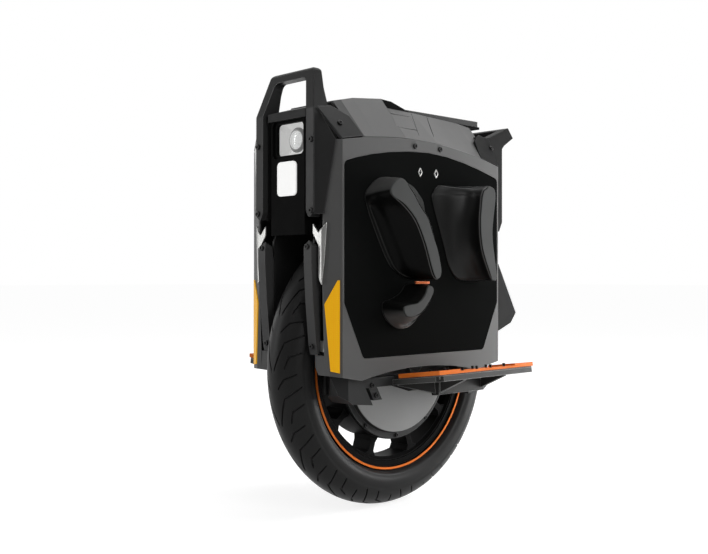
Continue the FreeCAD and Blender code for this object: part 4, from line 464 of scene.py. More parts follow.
@dataclass(frozen=True)
class BandFinish(Finish):
    """Two-tone finish: past a distance from a centre, in metres along the chosen axes, it has a second colour."""

    band_colour: Colour = (0.012, 0.012, 0.012)
    band_start: float = 0.1
    band_blend: float = 0.0006
    centre: Point = (0.0, 0.0, 0.224)
    axes: Point = (1.0, 0.0, 1.0)

    def _tint(self, palette: Palette, wiring: Wiring, colour: NodeSocket) -> NodeSocket:
        """Give the far band its own colour."""
        arm = wiring.vector("SUBTRACT", {0: wiring.place(), 1: self.centre})
        reach = wiring.vector("LENGTH", {0: wiring.vector("MULTIPLY", {0: arm, 1: self.axes})}, "Value")
        band = wiring.fade(reach, (self.band_start, self.band_start + self.band_blend), curve="LINEAR")
        return wiring.mixed(band, colour, rgba(self.band_colour))


@dataclass(frozen=True)
class ReflectorFinish(Finish):
    """Clear coloured plastic over small prisms."""

    cell_scale: float = 330.0
    cell_depth: float = 0.0004
    cell_strength: float = 0.5
    contrast: float = 0.5

    def _surface(self, palette: Palette, wiring: Wiring) -> Inputs:
        """Place the reflector cells and return what the shader's inputs get."""
        cells = wiring.group(palette.cells, {"Colour": rgba(self.colour), "Scale": self.cell_scale,
                                             "Contrast": self.contrast})
        normal = wiring.relief(self.cell_strength, {"Distance": self.cell_depth, "Height": cells["Height"]})
        return {"Base Color": cells["Colour"], "Roughness": self.roughness, "Normal": normal}


@dataclass(frozen=True)
class GlassFinish(Finish):
    """Clear lens glass with a faint unevenness."""

    transmission: float = 0.75
    ior: float = 1.5

    def _surface(self, palette: Palette, wiring: Wiring) -> Inputs:
        """Place the grain and return what the shader's inputs get."""
        grain = self._grain(palette, wiring)
        return {"Transmission Weight": self.transmission, "IOR": self.ior, "Base Color": grain["Colour"],
                "Roughness": grain["Roughness"]}


def foam(name: str, colour: Colour, roughness: float, relief: float, specular: float, **painted_tones: Colour) -> Finish:
    """Skin of a foam pad: fine grain and no paler edges, neither wear nor painted highlights. The painted tones are
    colours of faces that look up or down, painted light and shade.
    """
    return Finish(name, colour, roughness, scale=2200.0, relief=relief, edge_amount=0.0, specular=specular, **painted_tones)


SHELL = Finish("shell_grey", (0.126, 0.126, 0.125), 0.42, mottle=0.1, spread=0.1, edge_colour=grey(0.34), specular=0.08)
COVER = BandFinish("cover_grey", (0.115, 0.115, 0.114), 0.42, mottle=0.1, spread=0.1, edge_colour=grey(0.28),
                   edge_amount=0.4, specular=0.2, band_colour=grey(0.03), band_start=0.534, centre=(-0.4, 0.0, 0.0),
                   axes=(1.0, 0.0, 0.0))
PANEL = Finish("panel_black", (0.0082, 0.0087, 0.0085), 0.7, scale=2600.0, relief=0.00003, edge_amount=0.25,
               specular=0.0)
BLACK = Finish("moulded_black", grey(0.005), 0.5, relief=0.00002, edge_colour=grey(0.025), specular=0.015)
HOOD = Finish("hood_black", grey(0.022), 0.5, edge_colour=grey(0.12), specular=0.1)
GUARD = Finish("guard_black", grey(0.058), 0.45, relief=0.00002, edge_colour=grey(0.12), edge_amount=0.6, specular=0.15)
# handle faces that look up are painted near black: painted shade
HANDLE = Finish("handle_black", grey(0.033), 0.36, relief=0.00002, edge_colour=grey(0.10), edge_amount=0.8,
                edge_radius=0.0022, specular=0.11, top_colour=grey(0.004))
GRIP = Finish("grip_black", grey(0.018), 0.5, relief=0.00002, edge_colour=grey(0.09), edge_amount=0.8,
              edge_radius=0.0022, specular=0.03)
FRAME = Finish("frame_black", grey(0.032), 0.5, edge_colour=grey(0.10), specular=0.15)
# pad tops are painted lighter: painted highlight from the light above
PAD = foam("pad_black", (0.005, 0.0052, 0.005), 0.36, relief=0.00001, specular=0.05, top_colour=(0.06, 0.06, 0.059))
# lower pad undersides are painted lighter: painted light bounced from the floor
PAD_LOWER = foam("pad_lower", (0.006, 0.0062, 0.006), 0.36, relief=0.00001, specular=0.05,
                 under_colour=(0.14, 0.138, 0.134))
PAD_SATIN = foam("pad_satin", (0.0045, 0.0047, 0.0045), 0.34, relief=0.000005, specular=0.25)
PAD_FACE = foam("pad_face", (0.059, 0.061, 0.060), 0.6, relief=0.00002, specular=0.1)
# paler bevel between a pad's flank and face: painted highlight
PAD_EDGE_HIGHLIGHT = foam("pad_edge_highlight", (0.10, 0.10, 0.098), 0.40, relief=0.00001, specular=0.1)
# lighter pad grey: painted light on the lip line and on the rear of the front pad's flank
PAD_PAINTED_LIGHT = foam("pad_side_painted_light", (0.030, 0.031, 0.030), 0.6, relief=0.00002, specular=0.08)
TYRE = Finish("tyre_rubber", grey(0.023), 0.40, scale=1800.0, relief=0.00003, edge_amount=0.0, specular=0.1)
RIM = Finish("rim_black", grey(0.0035), 0.5, mottle=0.1, spread=0.08, relief=0.00001, edge_colour=grey(0.06),
             edge_radius=0.0008, specular=0.03)
ORANGE = Finish("orange_paint", (0.95, 0.22, 0.03), 0.42, mottle=0.12, edge_colour=(0.45, 0.06, 0.02), edge_amount=0.35,
                edge_radius=0.0006, specular=0.1)
LINK = Finish("link_orange", (0.62, 0.13, 0.03), 0.28, metallic=0.5, mottle=0.3, edge_colour=(0.95, 0.55, 0.35),
              edge_amount=0.7, edge_radius=0.0008)
DISC = BandFinish("motor_grey", (0.30, 0.30, 0.296), 0.5, mottle=0.16, edge_colour=grey(0.42), edge_amount=0.2,
                  specular=0.2, band_start=0.1075)
ALLOY = Finish("alloy_grey", (0.30, 0.30, 0.296), 0.5, mottle=0.16, edge_colour=grey(0.42), specular=0.2)
SILVER = Finish("satin_silver", (0.40, 0.40, 0.39), 0.36, metallic=0.7, edge_colour=(0.7, 0.7, 0.69))
STEEL = Finish("polished_steel", (0.56, 0.56, 0.55), 0.2, metallic=1.0, edge_colour=grey(0.8))
PEDAL = Finish("pedal_metal", (0.035, 0.035, 0.034), 0.42, metallic=0.3, edge_colour=(0.42, 0.42, 0.41),
               edge_amount=0.9, specular=0.2)
SCREW = Finish("screw_black", grey(0.008), 0.35, metallic=0.2, edge_colour=grey(0.10), edge_amount=0.8,
               edge_radius=0.0005, specular=0.2)
COPPER = Finish("winding_copper", (0.50, 0.20, 0.08), 0.35, metallic=0.8)
STATOR = Finish("stator_steel", (0.22, 0.22, 0.23), 0.45, metallic=0.8)
WRAP = Finish("battery_wrap", (0.03, 0.06, 0.13), 0.4)
# the headlight bowl and its collar glow as painted light; no lamp of the scene sits in the headlight
LAMP = Finish("lamp_white", (0.82, 0.82, 0.81), 0.3, mottle=0.05, spread=0.05, edge_amount=0.1, specular=0.2, glow=0.38)
LAMP_RING = Finish("lamp_ring", grey(0.24), 0.35, mottle=0.05, spread=0.05, edge_colour=grey(0.8), edge_radius=0.0006,
                   glow=0.15)
LENS = GlassFinish("lens_glass", (0.93, 0.94, 0.95), 0.06, spread=0.04, mottle=0.03)
# the corner reflectors and the front marker glow as painted light
AMBER = ReflectorFinish("amber_reflector", (0.86, 0.43, 0.012), 0.3, specular=0.06, contrast=0.3, glow=0.42)
WHITE = ReflectorFinish("white_reflector", (0.88, 0.88, 0.87), 0.25, specular=0.2, contrast=0.15, glow=0.6)
RED = ReflectorFinish("tail_red", (0.42, 0.012, 0.010), 0.18, specular=0.2)

NODE_FINISHES: Dict[Finish, Sequence[str]] = {
    SHELL: ("side_shell_left", "side_shell_right"),
    COVER: ("top_cover", "charge_flap"),
    PANEL: ("side_panel_left", "side_panel_right"),
    HOOD: ("front_hood",),
    BLACK: ("front_panel", "top_deck", "headlight_bezel", "wheel_arch", "charge_port", "rear_panel", "tyre_valve"),
    HANDLE: ("front_handle", "trolley_handle"),
    GRIP: ("rear_handle", "rear_mudguard"),
    GUARD: ("fork_guards",),
    FRAME: ("side_frames", "fork_feet", "pedal_hangers", "shock_bodies", "axle_carriers", "axle", "pedal_pins"),
    RIM: ("rim",),
    ORANGE: ("rim_stripes", "pad_links", "pedal_grip_left", "pedal_grip_right"),
    DISC: ("motor_cover_left", "motor_cover_right"),
    ALLOY: ("controller", "power_button"),
    SILVER: ("corner_brackets", "pad_inserts"),
    STEEL: ("fork_rails", "wheel_bearings", "shock_rods"),
    PEDAL: ("pedal_left", "pedal_right"),
    COPPER: ("motor_windings", "slide_bushes"),
    STATOR: ("stator", "magnet_ring"),
    WRAP: ("battery_packs",),
    LAMP: ("headlight_bowl",),
    LENS: ("headlight_lens",),
    AMBER: ("corner_reflectors",),
    WHITE: ("front_marker",),
    RED: ("tail_light",),
    SCREW: ("body_screws", "motor_cover_screws", "pedal_studs_left", "pedal_studs_right"),
    TYRE: ("tyre",),
    PAD: ("front_pads", "lower_pads", "rear_pads"),
}


def dress(piece: Object, palette: Palette, *finishes: Finish) -> Object:
    """Give a piece its finishes, in the order of its material places.

    Args:
        piece: The object.
        palette: Shared materials.
        finishes: One finish for each material place.

    Returns:
        The same object.
    """
    for place, finish in enumerate(finishes):
        if place < len(piece.data.materials):
            piece.data.materials[place] = finish.material(palette)
        else:
            piece.data.materials.append(finish.material(palette))
    return piece


def dress_frame(palette: Palette) -> None:
    """Give every CAD node its finish."""
    for finish, nodes in NODE_FINISHES.items():
        for node in nodes:
            dress(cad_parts[node], palette, finish)


@dataclass(frozen=True)
class Lamp:
    """A soft box: place and aim in metres, face size and power."""

    name: str
    place: Point
    size: Flat
    watts: float
    aim: Point = (0.0, 0.0, 0.35)

    def build(self) -> None:
        """Hang the lamp."""
        data = bpy.data.lights.new(self.name, "AREA")
        data.shape = "RECTANGLE"
        data.size, data.size_y = self.size
        data.energy = self.watts
        lamp = bpy.data.objects.new(self.name, data)
        lamp.location = self.place
        lamp.rotation_euler = (Vector(self.aim) - Vector(self.place)).to_track_quat("-Z", "Y").to_euler()
        lamp.visible_camera = False
        bpy.context.scene.collection.objects.link(lamp)


@dataclass
class Studio:
    """White floor and world, soft lamps and the camera of the photograph."""

    camera_place: Point = (1.1120, 1.1088, 0.3587)
    camera_turn_deg: float = 136.577
    camera_tilt_deg: float = 90.0
    lens_mm: float = 49.96
    sensor_mm: float = 36.0
    white: Tuple[float, ...] = (1, 1, 1, 1)
    floor_half: float = 40.0
    floor_grey: float = 0.45
    floor_roughness: float = 0.9
    floor_glow: Flat = (0.78, 0.95)
    floor_fade: Flat = (0.6, 2.4)
    world_strength: float = 0.07
    dim_end: Point = (0.687, 0.726, 0.0)
    dim_strength: float = 0.15
    dim_world: Flat = (-0.2, 0.5)
    dim_floor: Flat = (0.3, 1.6)
    lamps: Tuple[Lamp, ...] = (
        Lamp("front_left", (1.95, -1.7, 0.9), (0.35, 1.6), 15.0, (0.15, 0.0, 0.4)),
        Lamp("front_top", (1.75, 0.6, 1.85), (0.3, 0.9), 4.2, (0.2, 0.0, 0.3)),
        Lamp("side_right", (-0.4, 2.7, 1.5), (1.2, 1.6), 3.0),
        Lamp("near_right", (-1.2, 1.0, 1.0), (0.4, 1.1), 8.0, (-0.15, 0.1, 0.4)),
        Lamp("low_right", (-0.75, 0.42, 0.32), (0.2, 0.6), 5.2, (-0.1, 0.1, 0.28)),
        Lamp("strip_right", (0.62, 2.3, 1.2), (0.24, 1.4), 12.5, (0.0, 0.1, 0.45)),
        Lamp("side_left", (-0.4, -2.7, 1.5), (1.2, 1.6), 18.0),
        Lamp("overhead", (-0.4, 0.3, 2.6), (1.9, 1.9), 22.0),
        Lamp("rear", (-2.2, -1.4, 1.6), (1.4, 1.4), 8.0))

    def build(self) -> None:
        """Make the floor, the world, the lamps and the camera."""
        scene = bpy.context.scene
        scene.view_settings.view_transform = "Standard"
        self._camera(scene)
        self._world(scene)
        self._floor()
        for lamp in self.lamps:
            lamp.build()

    def _camera(self, scene: Scene) -> None:
        """Place the camera where the photograph was taken from."""
        data = bpy.data.cameras.new("photo_camera")
        data.lens = self.lens_mm
        data.sensor_width = self.sensor_mm
        data.sensor_fit = "HORIZONTAL"
        camera = bpy.data.objects.new("photo_camera", data)
        camera.location = self.camera_place
        camera.rotation_euler = (math.radians(self.camera_tilt_deg), 0, math.radians(self.camera_turn_deg))
        scene.collection.objects.link(camera)
        scene.camera = camera

    def _seen(self, wiring: Wiring, spot: NodeSocket, span: Flat) -> NodeSocket:
        """White for camera and transmission rays, and for glossy rays that look away from the dim end of the room.

        Args:
            wiring: Nodes to add to.
            spot: Place or direction that is lit.
            span: Where the dim end begins and where it is reached, along its direction.

        Returns:
            The strength socket, 0 for the other rays.
        """
        path = wiring.node("ShaderNodeLightPath").outputs
        along = wiring.vector("DOT_PRODUCT", {0: spot, 1: self.dim_end}, "Value")
        gloss = wiring.math("MULTIPLY", path["Is Glossy Ray"], wiring.fade(along, span, (1.0, self.dim_strength)))
        seen = wiring.math("ADD", path["Is Camera Ray"], gloss, True)
        return wiring.math("ADD", seen, path["Is Transmission Ray"], True)

    def _world(self, scene: Scene) -> None:
        """White where it is seen, weaker as a light."""
        world = bpy.data.worlds.new("studio_white")
        world.use_nodes = True
        wiring = Wiring(world.node_tree)
        look = wiring.node("ShaderNodeTexCoord").outputs["Generated"]
        lift = wiring.math("MULTIPLY", self._seen(wiring, look, self.dim_world), 1.0 - self.world_strength)
        wiring.fill(world.node_tree.nodes["Background"],
                    {"Color": self.white, "Strength": wiring.math("ADD", lift, self.world_strength)})
        scene.world = world

    def _floor(self) -> None:
        """Pale floor that keeps the shadow and fades into the white background."""
        sketch = Sketch()
        half = self.floor_half / MM
        sketch.loft([[(-half, -half, 0), (half, -half, 0), (half, half, 0), (-half, half, 0)]], caps=(False, True))
        floor = sketch.build("studio_floor")
        made = bpy.data.materials.new("pale_floor")
        made.use_nodes = True
        wiring = Wiring(made.node_tree)
        spot = wiring.place()
        glow = wiring.fade(wiring.vector("LENGTH", {0: spot}, "Value"), self.floor_fade, self.floor_glow)
        strength = wiring.math("MULTIPLY", self._seen(wiring, spot, self.dim_floor), glow)
        wiring.fill(made.node_tree.nodes["Principled BSDF"],
                    {"Base Color": rgba(grey(self.floor_grey)), "Roughness": self.floor_roughness,
                     "Specular IOR Level": 0.0, "Emission Color": self.white, "Emission Strength": strength})
        floor.data.materials.append(made)


@dataclass(frozen=True)
class Fitting:
    """How a piece is set in: its name, body, slot and finishes, the CAD node that it replaces, and the angle up to
    which its edges look smooth."""

    name: str
    body: Body
    slot: str
    finishes: Tuple[Finish, ...]
    node: Optional[str] = None
    smooth_deg: float = SMOOTH_DEG


class Piece:
    """A detailed piece that is drawn in millimetres and set into the frame."""

    fitting: Fitting

    def draw(self, sketch: Sketch) -> None:
        """Draw the piece on an empty sketch."""
        raise NotImplementedError

    def touch_up(self, made: Object) -> None:
        """Change single faces of the dressed piece. Most pieces need none of that."""

    def build(self, palette: Palette) -> Object:
        """Make the piece, dress it and set it in its place.

        Args:
            palette: Shared materials.

        Returns:
            The piece.
        """
        fit = self.fitting
        sketch = Sketch()
        self.draw(sketch)
        made = dress(sketch.build(fit.name, fit.smooth_deg), palette, *fit.finishes)
        self.touch_up(made)
        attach(made, fit.body.value)
        if fit.node:
            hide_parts(fit.node)
        return made


@dataclass(frozen=True)
class Groove:
    """One tread groove as knees (distance from the crown, distance round the tyre), cut from one distance from the
    crown to another, in millimetres."""

    knees: Outline
    start: float
    end: float
    half_step: float = 0.5

    def along(self, arc: float) -> float:
        """How far round the tyre the groove has run at a distance from the crown."""
        for (a, s), (b, t) in zip(self.knees, self.knees[1:]):
            if arc <= b:
                return s + (t - s) * max(arc - a, 0.0) / (b - a)
        return self.knees[-1][1]

    def stretch(self, arc: float) -> float:
        """How much longer the groove's width is round the tyre than across the groove."""
        if arc >= self.knees[-1][0]:
            return 1.0
        return math.hypot(1.0, self.along(arc + self.half_step) - self.along(arc - self.half_step))


@dataclass
class Tyre(Piece):
    """Road tyre with thin bent grooves, drawn on a grid that leans with them."""

    fitting = Fitting("road_tyre", Body.WHEEL, "tyre_rubber", (TYRE,), "tyre", smooth_deg=40.0)
    axle_z: float = 224.0
    radius: float = 224.0
    half_width: float = 38.0
    units: int = 17
    columns: int = 6
    floor_columns: Tuple[int, int] = (1, 2)
    floor_half: float = 0.9
    groove_wall: float = 0.5
    groove_depth: float = 2.4
    end_ramp: float = 1.6
    tread_end: float = 48.0
    shoulder_step: float = 0.7
    arcs: Tuple[float, ...] = (2.4, 4.0, 6.5, 8.5, 10.1, 12.5, 15.0, 17.2, 18.6, 20.0, 21.6, 24.0, 26.5, 28.5, 31.0,
                               34.0, 37.4, 39.0, 42.0, 44.4, 46.0, 48.0, 49.5, 52.0, 55.0, 59.7)
    bead: Outline = ((180.0, 36.3), (176.5, 34.4), (175.4, 34.6), (174.0, 33.9), (171.5, 30.2), (169.5, 26.4),
                              (168.2, 23.2), (167.6, 22.6), (153.0, 22.6), (153.0, 15.2), (167.5, 15.0), (182.0, 24.4),
                              (200.0, 22.0))
    crown_inside: float = 213.0
    grooves: Tuple[Groove, ...] = (
        Groove(((0.0, -38.0), (8.5, -28.0), (20.0, -12.7), (48.0, -1.5)), 8.5, 39.0),
        Groove(((0.0, -20.0), (20.0, 2.0), (27.0, 20.5), (48.0, 30.0)), 20.0, 46.0),
        Groove(((0.0, -7.0), (3.0, 0.5), (18.0, 40.8), (48.0, 58.5)), 2.4, 46.0))

    def draw(self, sketch: Sketch) -> None:
        """Draw the tyre as rings across it, one after the other round the wheel."""
        pitch = 2 * math.pi * self.radius / self.units
        rows = self._rows()
        rings: List[List[Point]] = []
        for unit in range(self.units):
            for i, groove in enumerate(self.grooves):
                later = self.grooves[(i + 1) % len(self.grooves)]
                ahead = pitch if i + 1 == len(self.grooves) else 0.0
                for column in range(self.columns):
                    rings.append([self._spot(unit * pitch, groove, later, ahead, column, row) for row in rows])
        sketch.loft(rings, closed=True)

    def _rows(self) -> List[Tuple[float, float, float, int]]:
        """Closed cross-section.

        Returns:
            Radius, Y, distance over the tread from the crown, and the side, for each point.
        """
        half: List[Tuple[float, float, float]] = []
        for arc in self.arcs:
            size = self.half_width - (0.0 if arc <= self.tread_end else self.shoulder_step)
            half.append((self.radius - self.half_width + size * math.cos(arc / self.half_width),
                         size * math.sin(arc / self.half_width), arc))
        half += [(r, y, self.arcs[-1]) for r, y in self.bead]
        left = [(r, y, arc, 1) for r, y, arc in half]
        right = [(r, -y, arc, -1) for r, y, arc in reversed(half)]
        return [(self.radius, 0.0, 0.0, 1)] + left + [(self.crown_inside, 0.0, self.arcs[-1], 1)] + right

    def _spot(self, base: float, groove: Groove, later: Groove, ahead: float, column: int,
              row: Tuple[float, float, float, int]) -> Point:
        """Place one grid point.

        Args:
            base: Start of the unit round the tyre.
            groove: The groove that the column belongs to.
            later: The next groove round the tyre.
            ahead: How far the next groove's unit is ahead.
            column: 0 to 3 across the groove, 4 and 5 on the land behind it.
            row: Point of the cross-section.

        Returns:
            The point, in millimetres.
        """
        radius, y, arc, side = row
        here, there = groove.along(arc), later.along(arc) + ahead
        floor = self.floor_half * groove.stretch(arc)
        edge = floor + self.groove_wall * groove.stretch(arc)
        far = there - (self.floor_half + self.groove_wall) * later.stretch(arc)
        third = (far - here - edge) / 3
        along = (here - edge, here - floor, here + floor, here + edge, here + edge + third, far - third)[column]
        inside = min(arc - groove.start, groove.end - arc)
        ramp = min(max(inside / self.end_ramp, 0.0), 1.0)
        sunk = self.groove_depth * ramp if column in self.floor_columns else 0.0
        angle = (base + along) / self.radius
        reach = radius - sunk * math.cos(arc / self.half_width)
        inward = sunk * math.sin(arc / self.half_width)
        return (reach * math.cos(angle), y - side * inward, self.axle_z + reach * math.sin(angle))


@dataclass(frozen=True)
class PadStep:
    """One ring of a pad: how far its outline has gone from base to face, its depth where the pad is wide and where it
    is a steep wall, both as shares of the depth, how far it is drawn in, in millimetres, and the place of the finish
    that follows."""

    share: float
    wide: float
    steep: float
    inset: float = 0.0
    coat: int = 0


def pad_steps(*rows: Sequence[float]) -> Tuple[PadStep, ...]:
    """Rings of a pad from the values of each."""
    return tuple(PadStep(*row) for row in rows)


# ring 1 takes coat 3, a thin lighter line along the base outline as a painted highlight
HOOKED = pad_steps(
    (0.0, 0.0, 0.0, 1.2), (0.0, 0.02, 0.02, 0.2, 3), (0.03, 0.045, 0.07), (0.06, 0.07, 0.12), (0.095, 0.08, 0.17),
    (0.13, 0.07, 0.22), (0.18, 0.055, 0.27), (0.25, 0.055, 0.32), (0.33, 0.075, 0.37), (0.40, 0.13, 0.42),
    (0.45, 0.22, 0.47), (0.48, 0.31, 0.52), (0.51, 0.375, 0.57), (0.55, 0.435, 0.62), (0.62, 0.52, 0.68),
    (0.72, 0.63, 0.75), (0.83, 0.75, 0.82), (0.92, 0.86, 0.88), (0.98, 0.93, 0.93))
SCOOPED = pad_steps(
    (0.0, 0.0, 0.0, 1.2), (0.0, 0.02, 0.02, 0.2), (0.02, 0.045, 0.06), (0.08, 0.065, 0.12), (0.16, 0.085, 0.19),
    (0.25, 0.107, 0.26), (0.34, 0.135, 0.32), (0.42, 0.168, 0.38), (0.50, 0.212, 0.44), (0.57, 0.262, 0.49),
    (0.64, 0.318, 0.54), (0.71, 0.378, 0.59), (0.78, 0.44, 0.64), (0.84, 0.505, 0.69), (0.89, 0.575, 0.73),
    (0.93, 0.65, 0.78), (0.96, 0.73, 0.83), (0.98, 0.81, 0.87), (0.992, 0.88, 0.91), (0.998, 0.93, 0.935))
# coat 2 rings paint the bevel between flank and face paler as a highlight; coat 1 rings are the face
CROWN = pad_steps(
    (1.0, 0.955, 0.955, 0.25, 2), (1.0, 0.975, 0.972, 0.7, 2), (1.0, 0.982, 0.984, 1.2), (1.0, 0.955, 0.991, 1.6),
    (1.0, 0.955, 0.996, 2.6), (1.0, 0.988, 0.999, 3.0, 1), (1.0, 1.0, 1.0, 3.6, 1), (1.0, 1.0, 1.0, 4.2, 1))


def scooped(share: float) -> float:
    """Depth of the scooped flank at a share of its width."""
    low = max((step for step in SCOOPED if step.share <= share), key=lambda step: (step.share, step.wide))
    high = min((step for step in SCOOPED if step.share > share), key=lambda step: step.share, default=low)
    part = (share - low.share) / (high.share - low.share) if high is not low else 0.0
    return low.wide + (high.wide - low.wide) * part


def inward_normal(loop: Sequence[Vector], i: int) -> Vector:
    """Direction into a closed outline at one of its points."""
    count = len(loop)
    area = sum(loop[k].x * loop[(k + 1) % count].y - loop[(k + 1) % count].x * loop[k].y for k in range(count))
    along = loop[(i + 1) % count] - loop[i - 1]
    inward = Vector((-along.y, along.x)) * (1.0 if area > 0 else -1.0)
    return inward.normalized()


def half_widths(loop: Sequence[Vector]) -> List[float]:
    """Half the distance across a closed outline at each point, evened out along it.

    Args:
        loop: The outline.

    Returns:
        One half width for each point.
    """
    no_limit, parallel, least_reach, slack, window = 1000.0, 1e-9, 0.5, 0.01, range(-3, 4)
    count = len(loop)
    raw: List[float] = []
    for i, spot in enumerate(loop):
        inward = inward_normal(loop, i)
        nearest = no_limit
        for k in range(count):
            a, b = loop[k], loop[(k + 1) % count]
            edge = b - a
            cross = inward.x * edge.y - inward.y * edge.x
            if i in (k, (k + 1) % count) or abs(cross) < parallel:
                continue
            reach = ((a.x - spot.x) * edge.y - (a.y - spot.y) * edge.x) / cross
            part = ((a.x - spot.x) * inward.y - (a.y - spot.y) * inward.x) / cross
            if reach > least_reach and -slack <= part <= 1 + slack:
                nearest = min(nearest, reach)
        raw.append(nearest / 2)
    low = [min(raw[(i + k) % count] for k in window) for i in range(count)]
    return [sum(low[(i + k) % count] for k in window) / len(window) for i in range(count)]


@dataclass(frozen=True)
class PadForm:
    """Form of a pad: its name and CAD node, a box (X, Z, length and height in millimetres), the outlines of its base
    and its outer face as shares of that box, the rings of its flank, and the flank's finish."""

    name: str
    node: str
    box: Tuple[float, float, float, float]
    base: Outline
    face: Outline
    steps: Tuple[PadStep, ...]
    flank: Finish
    # whether the rear of the flank is scooped, and its rear-facing faces painted lighter grey as painted light
    rear_scoop_and_painted_light: bool = False
    per_side: int = 8

    def outline(self, shares: Sequence[Flat]) -> List[Vector]:
        """Rounded outline in millimetres."""
        x, z, length, height = self.box
        corners = [(x + a * length, z + b * height) for a, b in shares]
        return [Vector(p) for p in smooth_loop(corners, self.per_side)]


PAD_FORMS = (
    PadForm("front_pad", "front_pads", (18, 353, 123, 153),
            ((0.163, 0.005), (0.472, 0.087), (0.642, 0.213), (0.862, 0.529), (0.952, 0.69), (0.985, 0.794),
             (0.905, 0.89), (0.699, 0.985), (0.275, 0.955), (0.07, 0.86), (-0.04, 0.686), (0.02, 0.135)),
            ((0.098, 0.019), (0.203, 0.06), (0.35, 0.348), (0.504, 0.561), (0.699, 0.697), (0.9, 0.794),
             (0.886, 0.88), (0.732, 0.955), (0.55, 0.86), (0.4, 0.715), (0.228, 0.548), (0.049, 0.135)),
            HOOKED, PAD, rear_scoop_and_painted_light=True),
    PadForm("lower_pad", "lower_pads", (25, 283, 80, 65),
            ((0.99, 0.576), (0.925, 0.258), (0.637, 0.01), (0.312, 0.01), (0.045, 0.258), (0.01, 0.742),
             (0.188, 0.985), (0.388, 0.985), (0.537, 0.803), (0.787, 0.667)),
            ((0.963, 0.515), (0.925, 0.318), (0.762, 0.273), (0.512, 0.348), (0.3, 0.576), (0.188, 0.848),
             (0.25, 0.96), (0.35, 0.96), (0.425, 0.773), (0.613, 0.591)),
            HOOKED, PAD_LOWER),
    PadForm("rear_pad", "rear_pads", (-120, 352, 118, 150),
            ((0.80, 0.985), (0.905, 0.962), (0.965, 0.905), (0.985, 0.82), (0.788, 0.42), (0.653, 0.155),
             (0.458, 0.012), (0.085, 0.01), (0.012, 0.067), (0.075, 0.453), (0.03, 0.907), (0.169, 0.985)),
            ((0.355, 0.962), (0.395, 0.94), (0.422, 0.90), (0.443, 0.84), (0.475, 0.587), (0.424, 0.32),
             (0.254, 0.053), (0.186, 0.01), (0.112, 0.053), (0.2, 0.487), (0.137, 0.9), (0.25, 0.985)),
            SCOOPED, PAD_SATIN),
)


@dataclass
class LegPad(Piece):
    """Moulded foam leg pad on one side of the body."""

    form: PadForm
    side: Side
    base_y: float = 102.0
    depth: float = 44.6
    wide_from: float = 14.0
    wide_to: float = 34.0
    widest_inset: float = 0.4
    # flank faces leaning back more than this get the lighter grey of painted light
    rear_slope: float = -0.05
    rear_blend: float = 16.0
    narrow: float = 0.4
    narrow_inset: float = 0.35
    face_place: int = 1
    painted_light_place: int = 3
    foam_share: float = 0.9
    smooth_deg: float = 60.0

    def __post_init__(self) -> None:
        """Round the outlines, and find how far each of their points belongs to a wide flank, from 0 to 1."""
        form = self.form
        self.fitting = Fitting(f"{form.name}_{self.side.name.lower()}", Body.CHASSIS, "pad_black",
                               (form.flank, PAD_FACE, PAD_EDGE_HIGHLIGHT, PAD_PAINTED_LIGHT), form.node, self.smooth_deg)
        self.base, self.face = form.outline(form.base), form.outline(form.face)
        self.steps = (*form.steps, *CROWN)
        spans = [((b - f).length - self.wide_from) / (self.wide_to - self.wide_from)
                 for b, f in zip(self.base, self.face)]
        kept = [min(max(span, 0.0), 1.0) for span in spans]
        self.wide = [share * share * (3 - 2 * share) for share in kept]

    def draw(self, sketch: Sketch) -> None:
        """Draw the pad as rings from its base to its face."""
        sketch.loft([self._ring(step) for step in self.steps], coats=[step.coat for step in self.steps])

    def touch_up(self, made: Object) -> None:
        """Give narrow parts of the rim the face's finish, and the rear of a flank a lighter grey as painted light."""
        flank = len(self.form.steps)
        for polygon in made.data.polygons[:len(self.base) * len(self.steps)]:
            ring, column = divmod(polygon.index, len(self.base))
            if ring >= flank and self.wide[column] < self.narrow:
                polygon.material_index = self.face_place
            # rear-facing flank faces get a lighter grey: painted light
            elif self.form.rear_scoop_and_painted_light and ring < flank and polygon.normal.x < self.rear_slope:
                polygon.material_index = self.painted_light_place

    def build(self, palette: Palette) -> Object:
        """Make the pad as every piece is made."""
        pad = super().build(palette)
        return pad

    def _ring(self, step: PadStep) -> List[Point]:
        """Points of one ring of the pad."""
        flat = [b.lerp(f, step.share) for b, f in zip(self.base, self.face)]
        room = half_widths(flat) if step.inset else [0.0] * len(flat)
        out: List[Point] = []
        for i, spot in enumerate(flat):
            deep = step.wide
            if self.form.rear_scoop_and_painted_light and 0.0 < step.share < 1.0:
                back = min(max((self.face[i].x - self.base[i].x) / self.rear_blend, 0.0), 1.0)
                deep += (scooped(step.share) - deep) * back
            depth = step.steep + (deep - step.steep) * self.wide[i]
            inset = step.inset * (self.narrow_inset + (1 - self.narrow_inset) * self.wide[i])
            spot = spot + inward_normal(flat, i) * min(inset, room[i] * 2 * self.widest_inset)
            out.append((spot.x, self.side.value * (self.base_y + depth * self.depth), spot.y))
        return out


